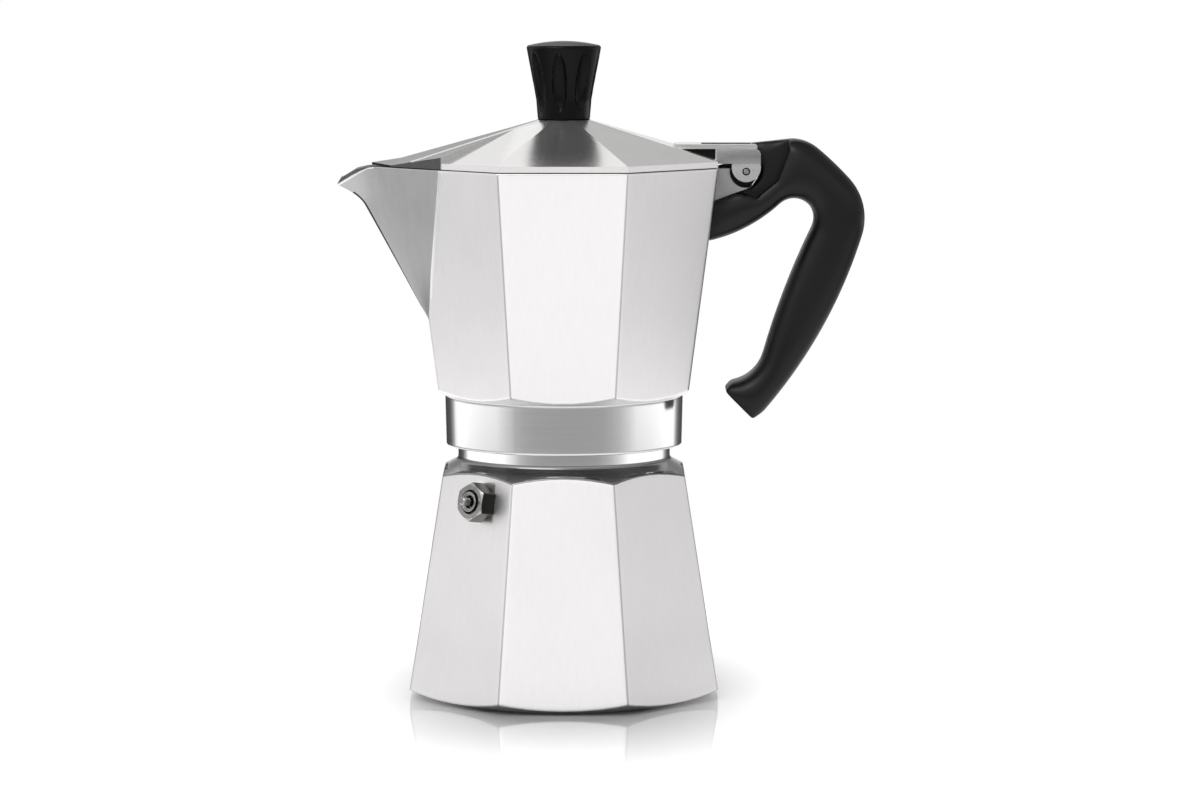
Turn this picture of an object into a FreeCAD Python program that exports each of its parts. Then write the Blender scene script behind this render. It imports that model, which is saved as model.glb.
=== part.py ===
import FreeCAD, Part
import math
import os
import re

import Sketcher

Vector = FreeCAD.Vector
Z_AXIS = Vector(0, 0, 1)
Y_AXIS = Vector(0, 1, 0)

doc = FreeCAD.newDocument("moka_pot")

# Driving sizes in millimetres, slopes in mm per mm, angles in degrees.
# +Z is up, the origin is the middle of the base, the spout points to -X and the handle to +X.
sizes = {
    "overcut": 1.0,  # how far a cutting shape runs past the face it opens
    # eight-sided boiler
    "boiler_apothem": 51.6,  # axis to flat at the table
    "boiler_taper": 0.1565,  # how far the flats lean in per mm of height
    "boiler_wall": 3.2,
    "boiler_floor": 4.0,
    "boiler_inner_round": 6.0,
    "base_radius": 46.5,  # the flat that stands on the table
    "base_edge_rise": 4.9,
    "base_edge_round": 27.0,
    "shoulder_height": 78.6,
    "shoulder_slope": 0.53,
    "shoulder_round": 3.0,
    "neck_radius": 35.3,
    "neck_step_height": 6.0,  # above the shoulder; the plain part of the neck ends here
    "neck_height": 13.4,  # above that step
    "neck_bore": 31.2,
    "neck_clear": 0.5,  # end of the neck to the step in the collar
    # screw thread between neck and collar
    "thread_relief": 1.6,  # plain neck to the root of the thread
    "thread_depth": 1.5,
    "thread_sink": 0.4,  # how far a ridge is rooted in its wall
    "thread_foot": 2.2,
    "thread_crest": 0.8,
    "thread_pitch": 3.5,
    "thread_start": 1.65,  # above that step
    "neck_thread_turns": 2.5,
    "collar_thread_turns": 2.75,
    "collar_gap": 0.4,
    # eight-sided collector above the collar
    "collar_bottom": 1.2,  # below the neck's step
    "collar_height": 16.4,
    "collar_radius": 39.2,
    "collar_draft": 0.4,
    "underside_slope": 0.565,
    "collector_apothem": 40.9,  # at the top of the collar
    "collector_flare": 0.1288,
    "collector_wall": 2.6,
    "collector_floor": 3.7,
    "seal_height": 4.8,  # above the neck; the face that the gasket presses on
    "rim_height": 175.9,
    # pouring spout
    "spout_foot": 26.7,  # above the collar
    "spout_foot_reach": 45.4,
    "spout_rim_reach": 72.9,
    "lip_foot_height": 11.3,  # below the rim
    "lip_back_reach": 63.7,
    "lip_back_height": 0.5,  # below the rim
    "lip_tip_reach": 75.8,
    "lip_tip_height": 6.5,  # below the rim
    "lip_edge": 1.3,
    "spout_crease": 5.3,  # middle of the neighbouring facet to the crease, at the rim
    # hinge between collector and lid
    "pin_x": 9.7,  # past the lid's flats
    "pin_height": 1.7,  # below the rim
    "pin_radius": 1.25,
    "pin_fit": 0.02,
    "pin_running_gap": 0.06,
    "tongue_width": 8.0,
    "tongue_round": 4.3,
    "tongue_gap": 0.35,
    "lug_low": 10.4,  # below the pin
    "lug_high": 1.8,  # below the pin
    "lug_end_x": 1.8,  # past the pin
    "lug_end_height": 5.4,  # below the pin
    "ear_width": 15.0,  # over both ears
    "ear_round": 4.8,
    "ear_rise": 1.35,  # centre of the rounded end above the pin
    "ear_length": 10.2,
    "ear_step": 2.6,
    "ear_corner": 2.2,
    "tab_top": 9.0,  # above the pin
    "tab_thickness": 1.5,
    "tab_start_x": 14.0,  # inside the lid's flats
    "tab_end": 3.6,
    "tab_lip": 0.3,
    "tab_slot_x": 5.0,  # inside the lid's flats
    "tab_rib_width": 10.6,
    "tab_sink": 1.0,
    # lid
    "lid_gap": 0.3,
    "lid_apothem": 50.5,
    "lid_band": 1.9,
    "lid_slope": 0.307,
    "lid_wall": 1.6,
    "seat_radius": 8.7,
    "seat_height": 13.0,  # above the lid's band
    "beak_ridge_slope": 0.277,
    "beak_side_slope": 0.072,
    "beak_hip_reach": 54.0,
    "beak_tip_reach": 63.6,
    "beak_tip_height": 0.75,  # above the lid's lower edge
    "beak_shoulder_reach": 56.8,
    "beak_shoulder_half": 14.0,
    "beak_root_reach": 39.7,
    "beak_root_half": 32.0,
    # knob
    "knob_foot_radius": 8.2,
    "knob_waist_radius": 9.15,
    "knob_waist_height": 6.4,  # above the knob's seat
    "knob_brim_radius": 12.3,
    "knob_brim_height": 22.1,  # above the knob's seat
    "knob_edge": 1.2,
    "knob_height": 3.8,  # above its brim
    "flute_count": 8,
    "flute_turn": 12.5,
    "flute_height": 5.1,  # above the knob's waist
    "flute_length": 9.4,
    "flute_width": 2.3,
    "flute_depth": 1.0,
    "screw_radius": 2.0,
    "screw_fit": 0.05,
    "screw_head_radius": 4.0,
    "screw_head_height": 2.4,
    "screw_edge": 0.8,
    "screw_tip_gap": 1.0,
    "driver_slot_width": 1.0,
    "driver_slot_depth": 1.2,
    "knob_screw_reach": 13.0,
    "washer_radius": 5.6,
    "washer_thickness": 0.8,
    # handle
    "handle_width": 18.5,
    "handle_round": 5.0,
    "handle_gap": 0.1,
    "arm_low": 23.2,  # below the pin
    "arm_heading": 12.2,
    "arm_round": 51.0,
    "arm_turn": 30.6,
    "gap_round": 6.8,
    "gap_turn": 158.6,
    "grip_inner_round": 260.0,
    "grip_inner_turn": 9.9,
    "foot_round": 13.0,
    "foot_turn": 66.0,
    "foot_end_x": 2.17,  # before the end of the grip's inner side
    "foot_end_height": 2.94,  # below it
    "foot_low_x": 7.03,  # past it
    "foot_low_height": 12.24,  # below it
    "heel_x": 10.73,  # past it
    "heel_height": 9.84,  # below it
    "heel_heading": 49.2,
    "grip_outer_round": 163.0,
    "grip_outer_turn": 23.7,
    "elbow_round": 19.4,
    "elbow_turn": 59.8,
    "brow_round": 108.0,
    "brow_turn": 7.5,
    "crown_round": 13.6,
    "crown_turn": 40.8,
    "web_x": 1.2,  # past the pin
    "web_height": 0.1,  # above the tab
    "web_clear": 0.4,
    "web_turn": 40.0,
    "scoop_x": 14.0,  # past the pin
    "scoop_height": 6.4,  # above the pin
    "scoop_mid_x": 10.2,  # past the pin
    "scoop_mid_height": 3.2,  # below the pin
    "scoop_low_x": 3.6,  # past the pin
    "scoop_low_height": 8.6,  # below the pin
    "handle_screw_x": 3.8,  # before the pin
    "handle_screw_radius": 1.5,
    "handle_screw_head_radius": 2.9,
    "handle_screw_head_height": 2.0,
    "handle_screw_grip": 6.0,  # handle left between the screw's head and the lug
    "handle_screw_bite": 4.5,
    # safety valve, measured along its own axis from the boiler's face
    "valve_height": 11.4,  # below the shoulder
    "valve_offset": 3.8,
    "valve_corner_radius": 6.5,
    "valve_hex_length": 6.0,
    "valve_chamfer_radius": 5.6,
    "valve_boss_radius": 4.1,
    "valve_boss_length": 0.6,
    "valve_shank_radius": 4.6,
    "valve_shank_length": 8.0,
    "valve_bore": 3.0,
    "valve_seat_depth": 5.5,
    "valve_seat_bore": 1.7,
    "valve_fit": 0.05,
    "cap_radius": 3.4,
    "cap_length": 1.6,
    "cap_inset": 0.3,
    "cap_hole": 2.2,
    "plunger_radius": 1.45,
    "plunger_reach": 10.0,
    "plunger_head_radius": 2.7,
    "plunger_head_length": 1.0,
    "plunger_tip_radius": 1.2,
    "plunger_tip_length": 1.4,
    "seal_radius": 2.6,
    "seal_thickness": 0.8,
    "seal_gap": 0.05,
    "spring_radius": 2.2,
    "spring_wire": 0.3,
    "spring_turns": 6.0,
    # funnel
    "funnel_gap": 0.4,
    "funnel_wall": 0.9,
    "funnel_rim_radius": 33.3,
    "funnel_rim_thickness": 1.0,
    "basket_depth": 28.0,
    "basket_cone_drop": 5.0,
    "stem_radius": 6.4,
    "stem_wall": 1.0,
    "stem_fit": 0.1,
    "stem_socket": 6.0,
    "stem_floor_gap": 5.0,
    "sieve_thickness": 0.8,
    "sieve_hole": 1.0,
    "sieve_rings": 4,
    "sieve_spacing": 6.2,
    # gasket, filter plate and coffee column
    "gasket_radius": 33.8,
    "gasket_bore": 28.4,
    "gasket_clearance": 0.1,
    "filter_radius": 28.3,
    "filter_thickness": 0.8,
    "filter_lip": 1.6,
    "filter_hole": 0.9,
    "filter_rings": 4,
    "filter_spacing": 5.6,
    "recess_gap": 0.3,  # gasket to the wall of its recess
    "column_spigot_radius": 7.0,
    "column_flange_radius": 11.0,
    "column_flange": 1.5,
    "column_foot_radius": 8.0,
    "column_top_radius": 5.2,
    "column_top": 17.9,  # below the rim
    "column_bore": 3.4,
    "column_cap": 2.5,
    "column_slot_height": 5.0,
    "column_slot_width": 3.6,
}

# Heights and radii that follow from the driving sizes.
workings = {
    "corner_ratio": "1 / cos(22.5 deg)",
    "neck_step_level": "shoulder_height + neck_step_height",
    "neck_level": "neck_step_level + neck_height",
    "valve_level": "shoulder_height - valve_height",
    "thread_level": "neck_step_level + thread_start",
    "collar_level": "neck_step_level - collar_bottom",
    "collar_top": "collar_level + collar_height",
    "seal_level": "neck_level + seal_height",
    "spout_foot_level": "collar_top + spout_foot",
    "lip_foot_level": "rim_height - lip_foot_height",
    "lip_back_level": "rim_height - lip_back_height",
    "lip_tip_level": "rim_height - lip_tip_height",
    "column_level": "rim_height - column_top",
    "lid_bottom": "rim_height + lid_gap",
    "lid_top": "lid_bottom + lid_band",
    "seat_level": "lid_top + seat_height",
    "beak_tip_level": "lid_bottom + beak_tip_height",
    "pin_place": "lid_apothem + pin_x",
    "pin_level": "rim_height - pin_height",
    "lug_low_level": "pin_level - lug_low",
    "lug_high_level": "pin_level - lug_high",
    "lug_end_place": "pin_place + lug_end_x",
    "lug_end_level": "pin_level - lug_end_height",
    "tab_level": "pin_level + tab_top",
    "tab_start_place": "lid_apothem - tab_start_x",
    "tab_slot_place": "lid_apothem - tab_slot_x",
    "knob_waist_level": "seat_level + knob_waist_height",
    "knob_brim_level": "seat_level + knob_brim_height",
    "knob_level": "knob_brim_level + knob_height",
    "flute_level": "knob_waist_level + flute_height",
    "arm_level": "pin_level - arm_low",
    "web_place": "pin_place + web_x",
    "web_level": "tab_level + web_height",
    "scoop_place": "pin_place + scoop_x",
    "scoop_level": "pin_level + scoop_height",
    "scoop_mid_place": "pin_place + scoop_mid_x",
    "scoop_mid_level": "pin_level - scoop_mid_height",
    "scoop_low_place": "pin_place + scoop_low_x",
    "scoop_low_level": "pin_level - scoop_low_height",
    "handle_screw_place": "pin_place - handle_screw_x",
    "thread_root": "neck_radius - thread_relief",
    "collar_bore": "neck_radius + collar_gap",
    "recess_radius": "gasket_radius + recess_gap",
    "chamber_floor": "seal_level + collector_floor",
    "inner_shoulder": "shoulder_height - boiler_wall * sqrt(1 + shoulder_slope ^ 2)",
    "inner_apothem": "boiler_apothem - boiler_wall",
    "inner_shoulder_height": "(inner_shoulder - shoulder_slope * (inner_apothem - neck_radius))"
                             " / (1 - shoulder_slope * boiler_taper)",
    "lid_drop": "lid_wall * sqrt(1 + lid_slope ^ 2)",
    "seat_under": "seat_level - lid_wall",
    "slot_width": "tongue_width + 2 * tongue_gap",
    "crown_radius": "knob_brim_radius - knob_edge",
    "crown_rise": "knob_level - knob_brim_level - knob_edge",
    "knob_dome_radius": "(crown_radius ^ 2 + crown_rise ^ 2) / (2 * crown_rise)",
    "cap_foot": "valve_hex_length + valve_boss_length - cap_inset - cap_length",
    "plunger_foot": "seal_gap + seal_thickness - valve_seat_depth",
    "plunger_shoulder": "plunger_foot + plunger_head_length",
    "basket_radius": "neck_bore - funnel_gap",
    "funnel_top": "neck_level + funnel_rim_thickness",
    "basket_bottom": "neck_level - basket_depth",
    "stem_bore_radius": "stem_radius - stem_wall",
    "socket_radius": "stem_radius + stem_fit",
    "socket_top": "basket_bottom - basket_cone_drop",
    "gasket_bottom": "funnel_top + gasket_clearance",
}

sheet = doc.addObject("Spreadsheet::Sheet", "Sizes")
for row, (name, value) in enumerate(sizes.items(), start=1):
    sheet.set(f"A{row}", name)
    sheet.set(f"B{row}", str(value))
    sheet.setAlias(f"B{row}", name)
for row, (name, formula) in enumerate(workings.items(), start=1):
    sheet.set(f"C{row}", name)
    sheet.set(f"D{row}", "=" + formula)
    sheet.setAlias(f"D{row}", name)
doc.recompute()


def formula(text):
    """An expression in which each size is read from the sheet."""
    def qualify(match):
        word = match.group()
        return "Sizes." + word if word in sizes or word in workings else word
    return re.sub(r"[A-Za-z_]\w*", qualify, text)


def number(text):
    """The present value of an expression in the sheet's sizes."""
    sheet.set("F1", "=" + text)
    sheet.recompute()
    return float(sheet.get("F1"))


def bind(item, **properties):
    for name, text in properties.items():
        item.setExpression(name.replace("__", "."), formula(text))
    return item


def place(item, x="0", y="0", z="0", turn=None):
    """Puts an item at a place given in the sheet's sizes, turned first if need be."""
    start = Vector(number(x), number(y), number(z))
    item.Placement = FreeCAD.Placement(start, turn or FreeCAD.Rotation())
    return bind(item, Placement__Base__x=x, Placement__Base__y=y, Placement__Base__z=z)


def arc_between(start, end, radius):
    """The short arc between two points, drawn anticlockwise; a negative radius bulges to the right."""
    chord = end - start
    side = Vector(-chord.y, chord.x, 0).normalize()
    half = chord.Length / 2
    rise = abs(radius) - math.sqrt(max(radius * radius - half * half, 0))
    middle = (start + end) * 0.5 + side * math.copysign(rise, radius)
    return Part.Arc(start, middle, end) if radius < 0 else Part.Arc(end, middle, start)


def outline(owner, name, corners):
    """A closed sketch; each corner is (u, v) or (u, v, radius of the arc that arrives there)."""
    sketch = owner.newObject("Sketcher::SketchObject", name)
    points = [Vector(number(corner[0]), number(corner[1]), 0) for corner in corners]
    count = len(corners)
    ends = []
    for index in range(count):
        following = (index + 1) % count
        radius = number(corners[following][2]) if len(corners[following]) == 3 else 0
        if radius:
            sketch.addGeometry(arc_between(points[index], points[following], radius))
        else:
            sketch.addGeometry(Part.LineSegment(points[index], points[following]))
        ends.append((2, 1) if radius > 0 else (1, 2))
    for index in range(count):
        following = (index + 1) % count
        sketch.addConstraint(Sketcher.Constraint(
            "Coincident", index, ends[index][1], following, ends[following][0]))
    for index, corner in enumerate(corners):
        for kind, text in (("DistanceX", corner[0]), ("DistanceY", corner[1])):
            rule = sketch.addConstraint(Sketcher.Constraint(
                kind, -1, 1, index, ends[index][0], number(text)))
            sketch.setExpression(f"Constraints[{rule}]", formula(text))
        if len(corner) == 3:
            size = corner[2].lstrip("-")
            arc = (index - 1) % count
            rule = sketch.addConstraint(Sketcher.Constraint("Radius", arc, number(size)))
            sketch.setExpression(f"Constraints[{rule}]", formula(size))
    return sketch


def new_body(name, corners, plane):
    body = doc.addObject("PartDesign::Body", name)
    sketch = outline(body, name + "_outline", corners)
    base = [item for item in body.Origin.OriginFeatures if item.Role == plane][0]
    sketch.AttachmentSupport = [(base, "")]
    sketch.MapMode = "FlatFace"
    return body, sketch


def turned(name, corners):
    """A solid of revolution about Z from (radius, height) corners."""
    body, sketch = new_body(name, corners, "XZ_Plane")
    turn = body.newObject("PartDesign::Revolution", name + "_turn")
    turn.Profile = sketch
    turn.ReferenceAxis = (sketch, ["V_Axis"])
    return body


def plate(name, corners, width):
    """A solid of an (x, height) outline, as wide as given and centred on Y = 0."""
    body, sketch = new_body(name, corners, "XZ_Plane")
    pad = body.newObject("PartDesign::Pad", name + "_pad")
    pad.Profile = sketch
    pad.SideType = "Symmetric"
    bind(pad, Length=width)
    return body


def cylinder(name, radius, height, x="0", y="0", z="0", turn=None):
    item = bind(doc.addObject("Part::Cylinder", name), Radius=radius, Height=height)
    return place(item, x, y, z, turn)


def cross_bar(name, radius, width, x, z):
    """A round bar along Y, centred on Y = 0."""
    return cylinder(name, radius, width, x, f"-({width}) / 2", z, FreeCAD.Rotation(Vector(1, 0, 0), -90))


def frustum(name, low, high):
    """An eight-sided block between two (apothem, height) sections, with flats on the axes."""
    sections = []
    for end, (apothem, height) in (("low", low), ("high", high)):
        ring = bind(doc.addObject("Part::RegularPolygon", f"{name}_{end}"),
                    Circumradius=f"({apothem}) * corner_ratio")
        ring.Polygon = 8
        sections.append(place(ring, z=height, turn=FreeCAD.Rotation(Z_AXIS, 22.5)))
    block = doc.addObject("Part::Loft", name)
    block.Sections = sections
    block.Solid = True
    block.Ruled = True
    return block


def fuse(name, *items, refine=True):
    whole = doc.addObject("Part::MultiFuse", name)
    whole.Shapes = list(items)
    whole.Refine = refine
    return whole


def cut(name, base, *tools):
    whole = doc.addObject("Part::Cut", name)
    whole.Base = base
    whole.Tool = tools[0] if len(tools) == 1 else fuse(name + "_tools", *tools)
    whole.Refine = True
    return whole


def common(name, first, second):
    whole = doc.addObject("Part::MultiCommon", name)
    whole.Shapes = [first, second]
    whole.Refine = True
    return whole


def built(name, shape):
    """A shape worked out from the sheet's sizes, for forms that no feature makes."""
    item = doc.addObject("Part::Feature", name)
    item.Shape = shape
    return item


def faceted(faces):
    """A solid closed by flat faces, each a list of points."""
    sides = [Part.Face(Part.makePolygon(points + points[:1])) for points in faces]
    block = Part.Solid(Part.Shell(sides))
    if block.Volume < 0:
        block.reverse()
    return block


def coil(name, profile, radius, pitch, turns, start):
    """A ridge or wire wound about Z; the profile is a closed (radius, height) sketch."""
    holder = doc.addObject("Part::Helix", name + "_path")
    bind(holder, Pitch=pitch, Height=f"({pitch}) * ({turns})", Radius=radius)
    place(holder, z=start)
    doc.recompute()
    wound = doc.addObject("Part::Sweep", name)
    wound.Sections = [profile]
    wound.Spine = (holder, [f"Edge{index + 1}" for index in range(len(holder.Shape.Edges))])
    wound.Solid = True
    wound.Frenet = True
    return wound


def loose_sketch(name, corners):
    """A closed sketch on the XZ plane that belongs to no body."""
    group = doc.addObject("App::DocumentObjectGroup", name + "_group")
    sketch = outline(group, name, corners)
    sketch.Placement = FreeCAD.Placement(Vector(), FreeCAD.Rotation(Vector(1, 0, 0), 90))
    return sketch


def thread_ridge(name, root, crest, start, turns):
    """The helical ridge of a thread, from its root radius to its crest radius."""
    foot = "(thread_foot / 2 + (thread_foot - thread_crest) * thread_sink / thread_depth / 2)"
    sunk = f"({root}) + (({root}) - ({crest})) * thread_sink / thread_depth"
    profile = loose_sketch(name + "_profile", [
        (sunk, f"({start}) - {foot}"),
        (crest, f"({start}) - thread_crest / 2"),
        (crest, f"({start}) + thread_crest / 2"),
        (sunk, f"({start}) + {foot}"),
    ])
    return coil(name, profile, root, "thread_pitch", turns, start)


def hole_field(name, radius, rings, spacing, height, depth):
    """Round holes on rings about Z, six more on each ring than on the last."""
    holes = []
    reach = number(spacing)
    for ring in range(1, int(number(rings)) + 1):
        for step in range(6 * ring):
            angle = 2 * math.pi * step / (6 * ring)
            middle = Vector(ring * reach * math.cos(angle), ring * reach * math.sin(angle), number(height))
            holes.append(Part.makeCylinder(number(radius), number(depth), middle))
    return built(name, Part.makeCompound(holes))


parts = {}


def keep(name, item):
    item.Label = name
    parts[name] = item
    return item


def collector_apothem(height):
    return f"(collector_apothem + collector_flare * ({height} - collar_top))"


# Boiler: an eight-sided cone, its base edge and shoulder turned, with a threaded neck.
blank = frustum("boiler_blank", ("boiler_apothem", "0"),
                ("boiler_apothem - boiler_taper * neck_level", "neck_level"))
bend_angle = "atan(shoulder_slope)"
bend_run = "shoulder_round * tan((90 deg - atan(shoulder_slope)) / 2)"
turning = "boiler_apothem * corner_ratio + overcut"
envelope = turned("boiler_envelope", [
    ("0", "0"),
    ("base_radius", "0"),
    (turning, "base_edge_rise", "-base_edge_round"),
    (turning, f"shoulder_height - shoulder_slope * ({turning} - neck_radius)"),
    (f"neck_radius + {bend_run} * cos({bend_angle})", f"shoulder_height - {bend_run} * sin({bend_angle})"),
    ("neck_radius", f"shoulder_height + {bend_run}", "shoulder_round"),
    ("neck_radius", "neck_step_level"),
    ("thread_root", "neck_step_level"),
    ("thread_root", "neck_level"),
    ("0", "neck_level"),
])
neck_thread = thread_ridge("neck_thread", "thread_root", "thread_root + thread_depth",
                           "thread_level + thread_pitch / 2", "neck_thread_turns")
floor_radius = "(inner_apothem - boiler_taper * (boiler_floor + boiler_inner_round))"
boiler_inside = turned("boiler_inside", [
    ("0", "boiler_floor"),
    (f"{floor_radius} - boiler_inner_round", "boiler_floor"),
    (floor_radius, "boiler_floor + boiler_inner_round", "-boiler_inner_round"),
    ("inner_apothem - boiler_taper * inner_shoulder_height", "inner_shoulder_height"),
    ("neck_bore", "inner_shoulder + shoulder_slope * (neck_radius - neck_bore)"),
    ("neck_bore", "neck_level + overcut"),
    ("0", "neck_level + overcut"),
])

# The valve's axis stands square on the facet that looks to the front and the spout.
facet_lean = math.atan(number("boiler_taper"))
valve_axis = Vector(-math.cos(facet_lean) / math.sqrt(2), -math.cos(facet_lean) / math.sqrt(2),
                    math.sin(facet_lean))
facet_reach = "(boiler_apothem - boiler_taper * valve_level) / sqrt(2)"
valve_x = f"-{facet_reach} + valve_offset / sqrt(2)"
valve_y = f"-{facet_reach} - valve_offset / sqrt(2)"
valve_turn = FreeCAD.Rotation(Vector(1, -1, 0), Vector(0, 0, 1), valve_axis, "ZXY")


def on_valve(item):
    return place(item, valve_x, valve_y, "valve_level", valve_turn)


def along_valve(depth):
    """A place on the valve's axis, at a depth given in the sheet's sizes."""
    return [f"{start} + ({part:.9f}) * ({depth})" for start, part in
            zip((valve_x, valve_y, "valve_level"), valve_axis)]


valve_hole = cylinder("valve_hole", "valve_shank_radius + valve_fit", "4 * boiler_wall",
                      *along_valve("-3 * boiler_wall"), valve_turn)
boiler_body = fuse("boiler_outside", common("boiler_turned", blank, envelope), neck_thread, refine=False)
keep("boiler", cut("boiler", boiler_body, boiler_inside, valve_hole))

# Safety valve: a six-sided body screwed through the wall, with a sprung plunger behind a pressed ring.
hexagon = bind(doc.addObject("Part::Prism", "valve_hexagon"),
               Circumradius="valve_corner_radius", Height="valve_hex_length")
hexagon.Polygon = 6
hexagon.Placement = FreeCAD.Placement(Vector(), FreeCAD.Rotation(Vector(0, 0, 1), 30))  # a corner points up
hex_chamfer = turned("valve_hex_chamfer", [
    ("0", "0"),
    ("valve_corner_radius + overcut", "0"),
    ("valve_corner_radius + overcut",
     "valve_hex_length - (valve_corner_radius + overcut - valve_chamfer_radius) * tan(30 deg)"),
    ("valve_chamfer_radius", "valve_hex_length"),
    ("0", "valve_hex_length"),
])
valve_shank = cylinder("valve_shank", "valve_shank_radius", "valve_shank_length", z="-valve_shank_length")
valve_boss = cylinder("valve_boss", "valve_boss_radius", "valve_hex_length + valve_boss_length")
valve_inside = turned("valve_inside", [
    ("0", "-valve_shank_length - overcut"),
    ("valve_seat_bore", "-valve_shank_length - overcut"),
    ("valve_seat_bore", "-valve_seat_depth"),
    ("valve_bore", "-valve_seat_depth"),
    ("valve_bore", "cap_foot"),
    ("cap_radius", "cap_foot"),
    ("cap_radius", "valve_hex_length + valve_boss_length + overcut"),
    ("0", "valve_hex_length + valve_boss_length + overcut"),
])
valve_solid = fuse("valve_solid", common("valve_hex_turned", hexagon, hex_chamfer), valve_shank, valve_boss)
keep("valve_body", on_valve(cut("valve_body", valve_solid, valve_inside)))
keep("valve_cap", on_valve(turned("valve_cap", [
    ("cap_hole", "cap_foot"),
    ("cap_radius - valve_fit", "cap_foot"),
    ("cap_radius - valve_fit", "cap_foot + cap_length"),
    ("cap_hole", "cap_foot + cap_length"),
])))
keep("valve_plunger", on_valve(turned("valve_plunger", [
    ("0", "plunger_foot - plunger_tip_length"),
    ("plunger_tip_radius / 2", "plunger_foot - plunger_tip_length"),
    ("plunger_tip_radius", "plunger_foot - plunger_tip_length / 2"),
    ("plunger_tip_radius", "plunger_foot"),
    ("plunger_head_radius", "plunger_foot"),
    ("plunger_head_radius", "plunger_shoulder"),
    ("plunger_radius", "plunger_shoulder"),
    ("plunger_radius", "plunger_reach - plunger_radius / 2"),
    ("plunger_radius / 2", "plunger_reach", "plunger_radius / 2"),
    ("0", "plunger_reach"),
])))
keep("valve_seal", on_valve(turned("valve_seal", [
    ("plunger_tip_radius + valve_fit", "plunger_foot - seal_thickness"),
    ("seal_radius", "plunger_foot - seal_thickness"),
    ("seal_radius", "plunger_foot"),
    ("plunger_tip_radius + valve_fit", "plunger_foot"),
])))
spring_low = "(plunger_shoulder + spring_wire + valve_fit)"
spring_rise = f"((cap_foot - valve_fit - spring_wire - {spring_low}) / spring_turns)"
wire_ring = doc.addObject("Part::Circle", "valve_spring_wire")
bind(wire_ring, Radius="spring_wire")
place(wire_ring, "spring_radius", "0", spring_low, FreeCAD.Rotation(Vector(1, 0, 0), 90))
keep("valve_spring", on_valve(coil("valve_spring", wire_ring, "spring_radius", spring_rise,
                                   "spring_turns", spring_low)))

# Funnel: a basket whose rim rests on the neck, its stem and the sieve under the coffee.
keep("funnel_basket", turned("funnel_basket", [
    ("socket_radius", "socket_top - stem_socket"),
    ("socket_radius + funnel_wall", "socket_top - stem_socket"),
    ("socket_radius + funnel_wall", "socket_top - funnel_wall"),
    ("basket_radius", "basket_bottom - funnel_wall"),
    ("basket_radius", "neck_level"),
    ("funnel_rim_radius", "neck_level"),
    ("funnel_rim_radius", "funnel_top"),
    ("basket_radius - funnel_wall", "funnel_top"),
    ("basket_radius - funnel_wall", "basket_bottom"),
    ("socket_radius", "socket_top"),
]))
keep("funnel_stem", turned("funnel_stem", [
    ("stem_bore_radius", "boiler_floor + stem_floor_gap"),
    ("stem_radius", "boiler_floor + stem_floor_gap"),
    ("stem_radius", "socket_top"),
    ("stem_bore_radius", "socket_top"),
]))
sieve_radius = "basket_radius - funnel_wall - stem_fit"
sieve_disc = cylinder("sieve_disc", sieve_radius, "sieve_thickness", z="basket_bottom")
sieve_holes = hole_field("sieve_holes", "sieve_hole", "sieve_rings", "sieve_spacing",
                         "basket_bottom - overcut", "sieve_thickness + 2 * overcut")
keep("funnel_sieve", cut("funnel_sieve", sieve_disc, sieve_holes))

# Gasket and filter plate, held in the recess under the collector's floor.
keep("gasket", turned("gasket", [
    ("gasket_bore", "gasket_bottom"),
    ("gasket_radius", "gasket_bottom"),
    ("gasket_radius", "seal_level - gasket_clearance"),
    ("gasket_bore", "seal_level - gasket_clearance"),
]))
filter_cup = turned("filter_cup", [
    ("0", "seal_level - gasket_clearance - filter_lip"),
    ("filter_radius", "seal_level - gasket_clearance - filter_lip"),
    ("filter_radius", "seal_level - gasket_clearance"),
    ("filter_radius - filter_thickness", "seal_level - gasket_clearance"),
    ("filter_radius - filter_thickness", "seal_level - gasket_clearance - filter_lip + filter_thickness"),
    ("0", "seal_level - gasket_clearance - filter_lip + filter_thickness"),
])
filter_holes = hole_field("filter_holes", "filter_hole", "filter_rings", "filter_spacing",
                          "seal_level - filter_lip - overcut", "filter_lip + 2 * overcut")
keep("filter_plate", cut("filter_plate", filter_cup, filter_holes))

# Collector: collar, eight-sided chamber, spout and hinge lug in one casting.
collar = turned("collar", [
    ("0", "collar_level"),
    ("collar_radius", "collar_level"),
    ("collar_radius + collar_draft", "collar_top"),
    ("collar_radius + collar_draft", "chamber_floor"),
    ("0", "chamber_floor"),
])
chamber_turning = f"({collector_apothem('rim_height')} * corner_ratio + overcut)"
chamber_envelope = turned("chamber_envelope", [
    ("0", "collar_top"),
    ("collar_radius + collar_draft", "collar_top"),
    (chamber_turning, f"collar_top + underside_slope * ({chamber_turning} - collar_radius - collar_draft)"),
    (chamber_turning, "spout_foot_level"),
    ("0", "spout_foot_level"),
])


def crease_point(height, inset):
    """Where the spout's wall leaves the facet beside it."""
    level = number(height)
    apothem = number(collector_apothem(height)) - inset
    low, top = number("spout_foot_level"), number("rim_height")
    corner = number(collector_apothem("spout_foot_level")) * math.tan(math.radians(22.5))
    along = corner + (number("spout_crease") - corner) * (level - low) / (top - low)
    along -= inset * math.tan(math.radians(22.5))
    return Vector(-(apothem + along) / math.sqrt(2), -(apothem - along) / math.sqrt(2), level)


def keel_reach(height):
    """How far the spout's straight keel stands out at a height."""
    share = f"(({height}) - spout_foot_level) / (rim_height - spout_foot_level)"
    return number(f"spout_foot_reach + (spout_rim_reach - spout_foot_reach) * {share}")


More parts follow.
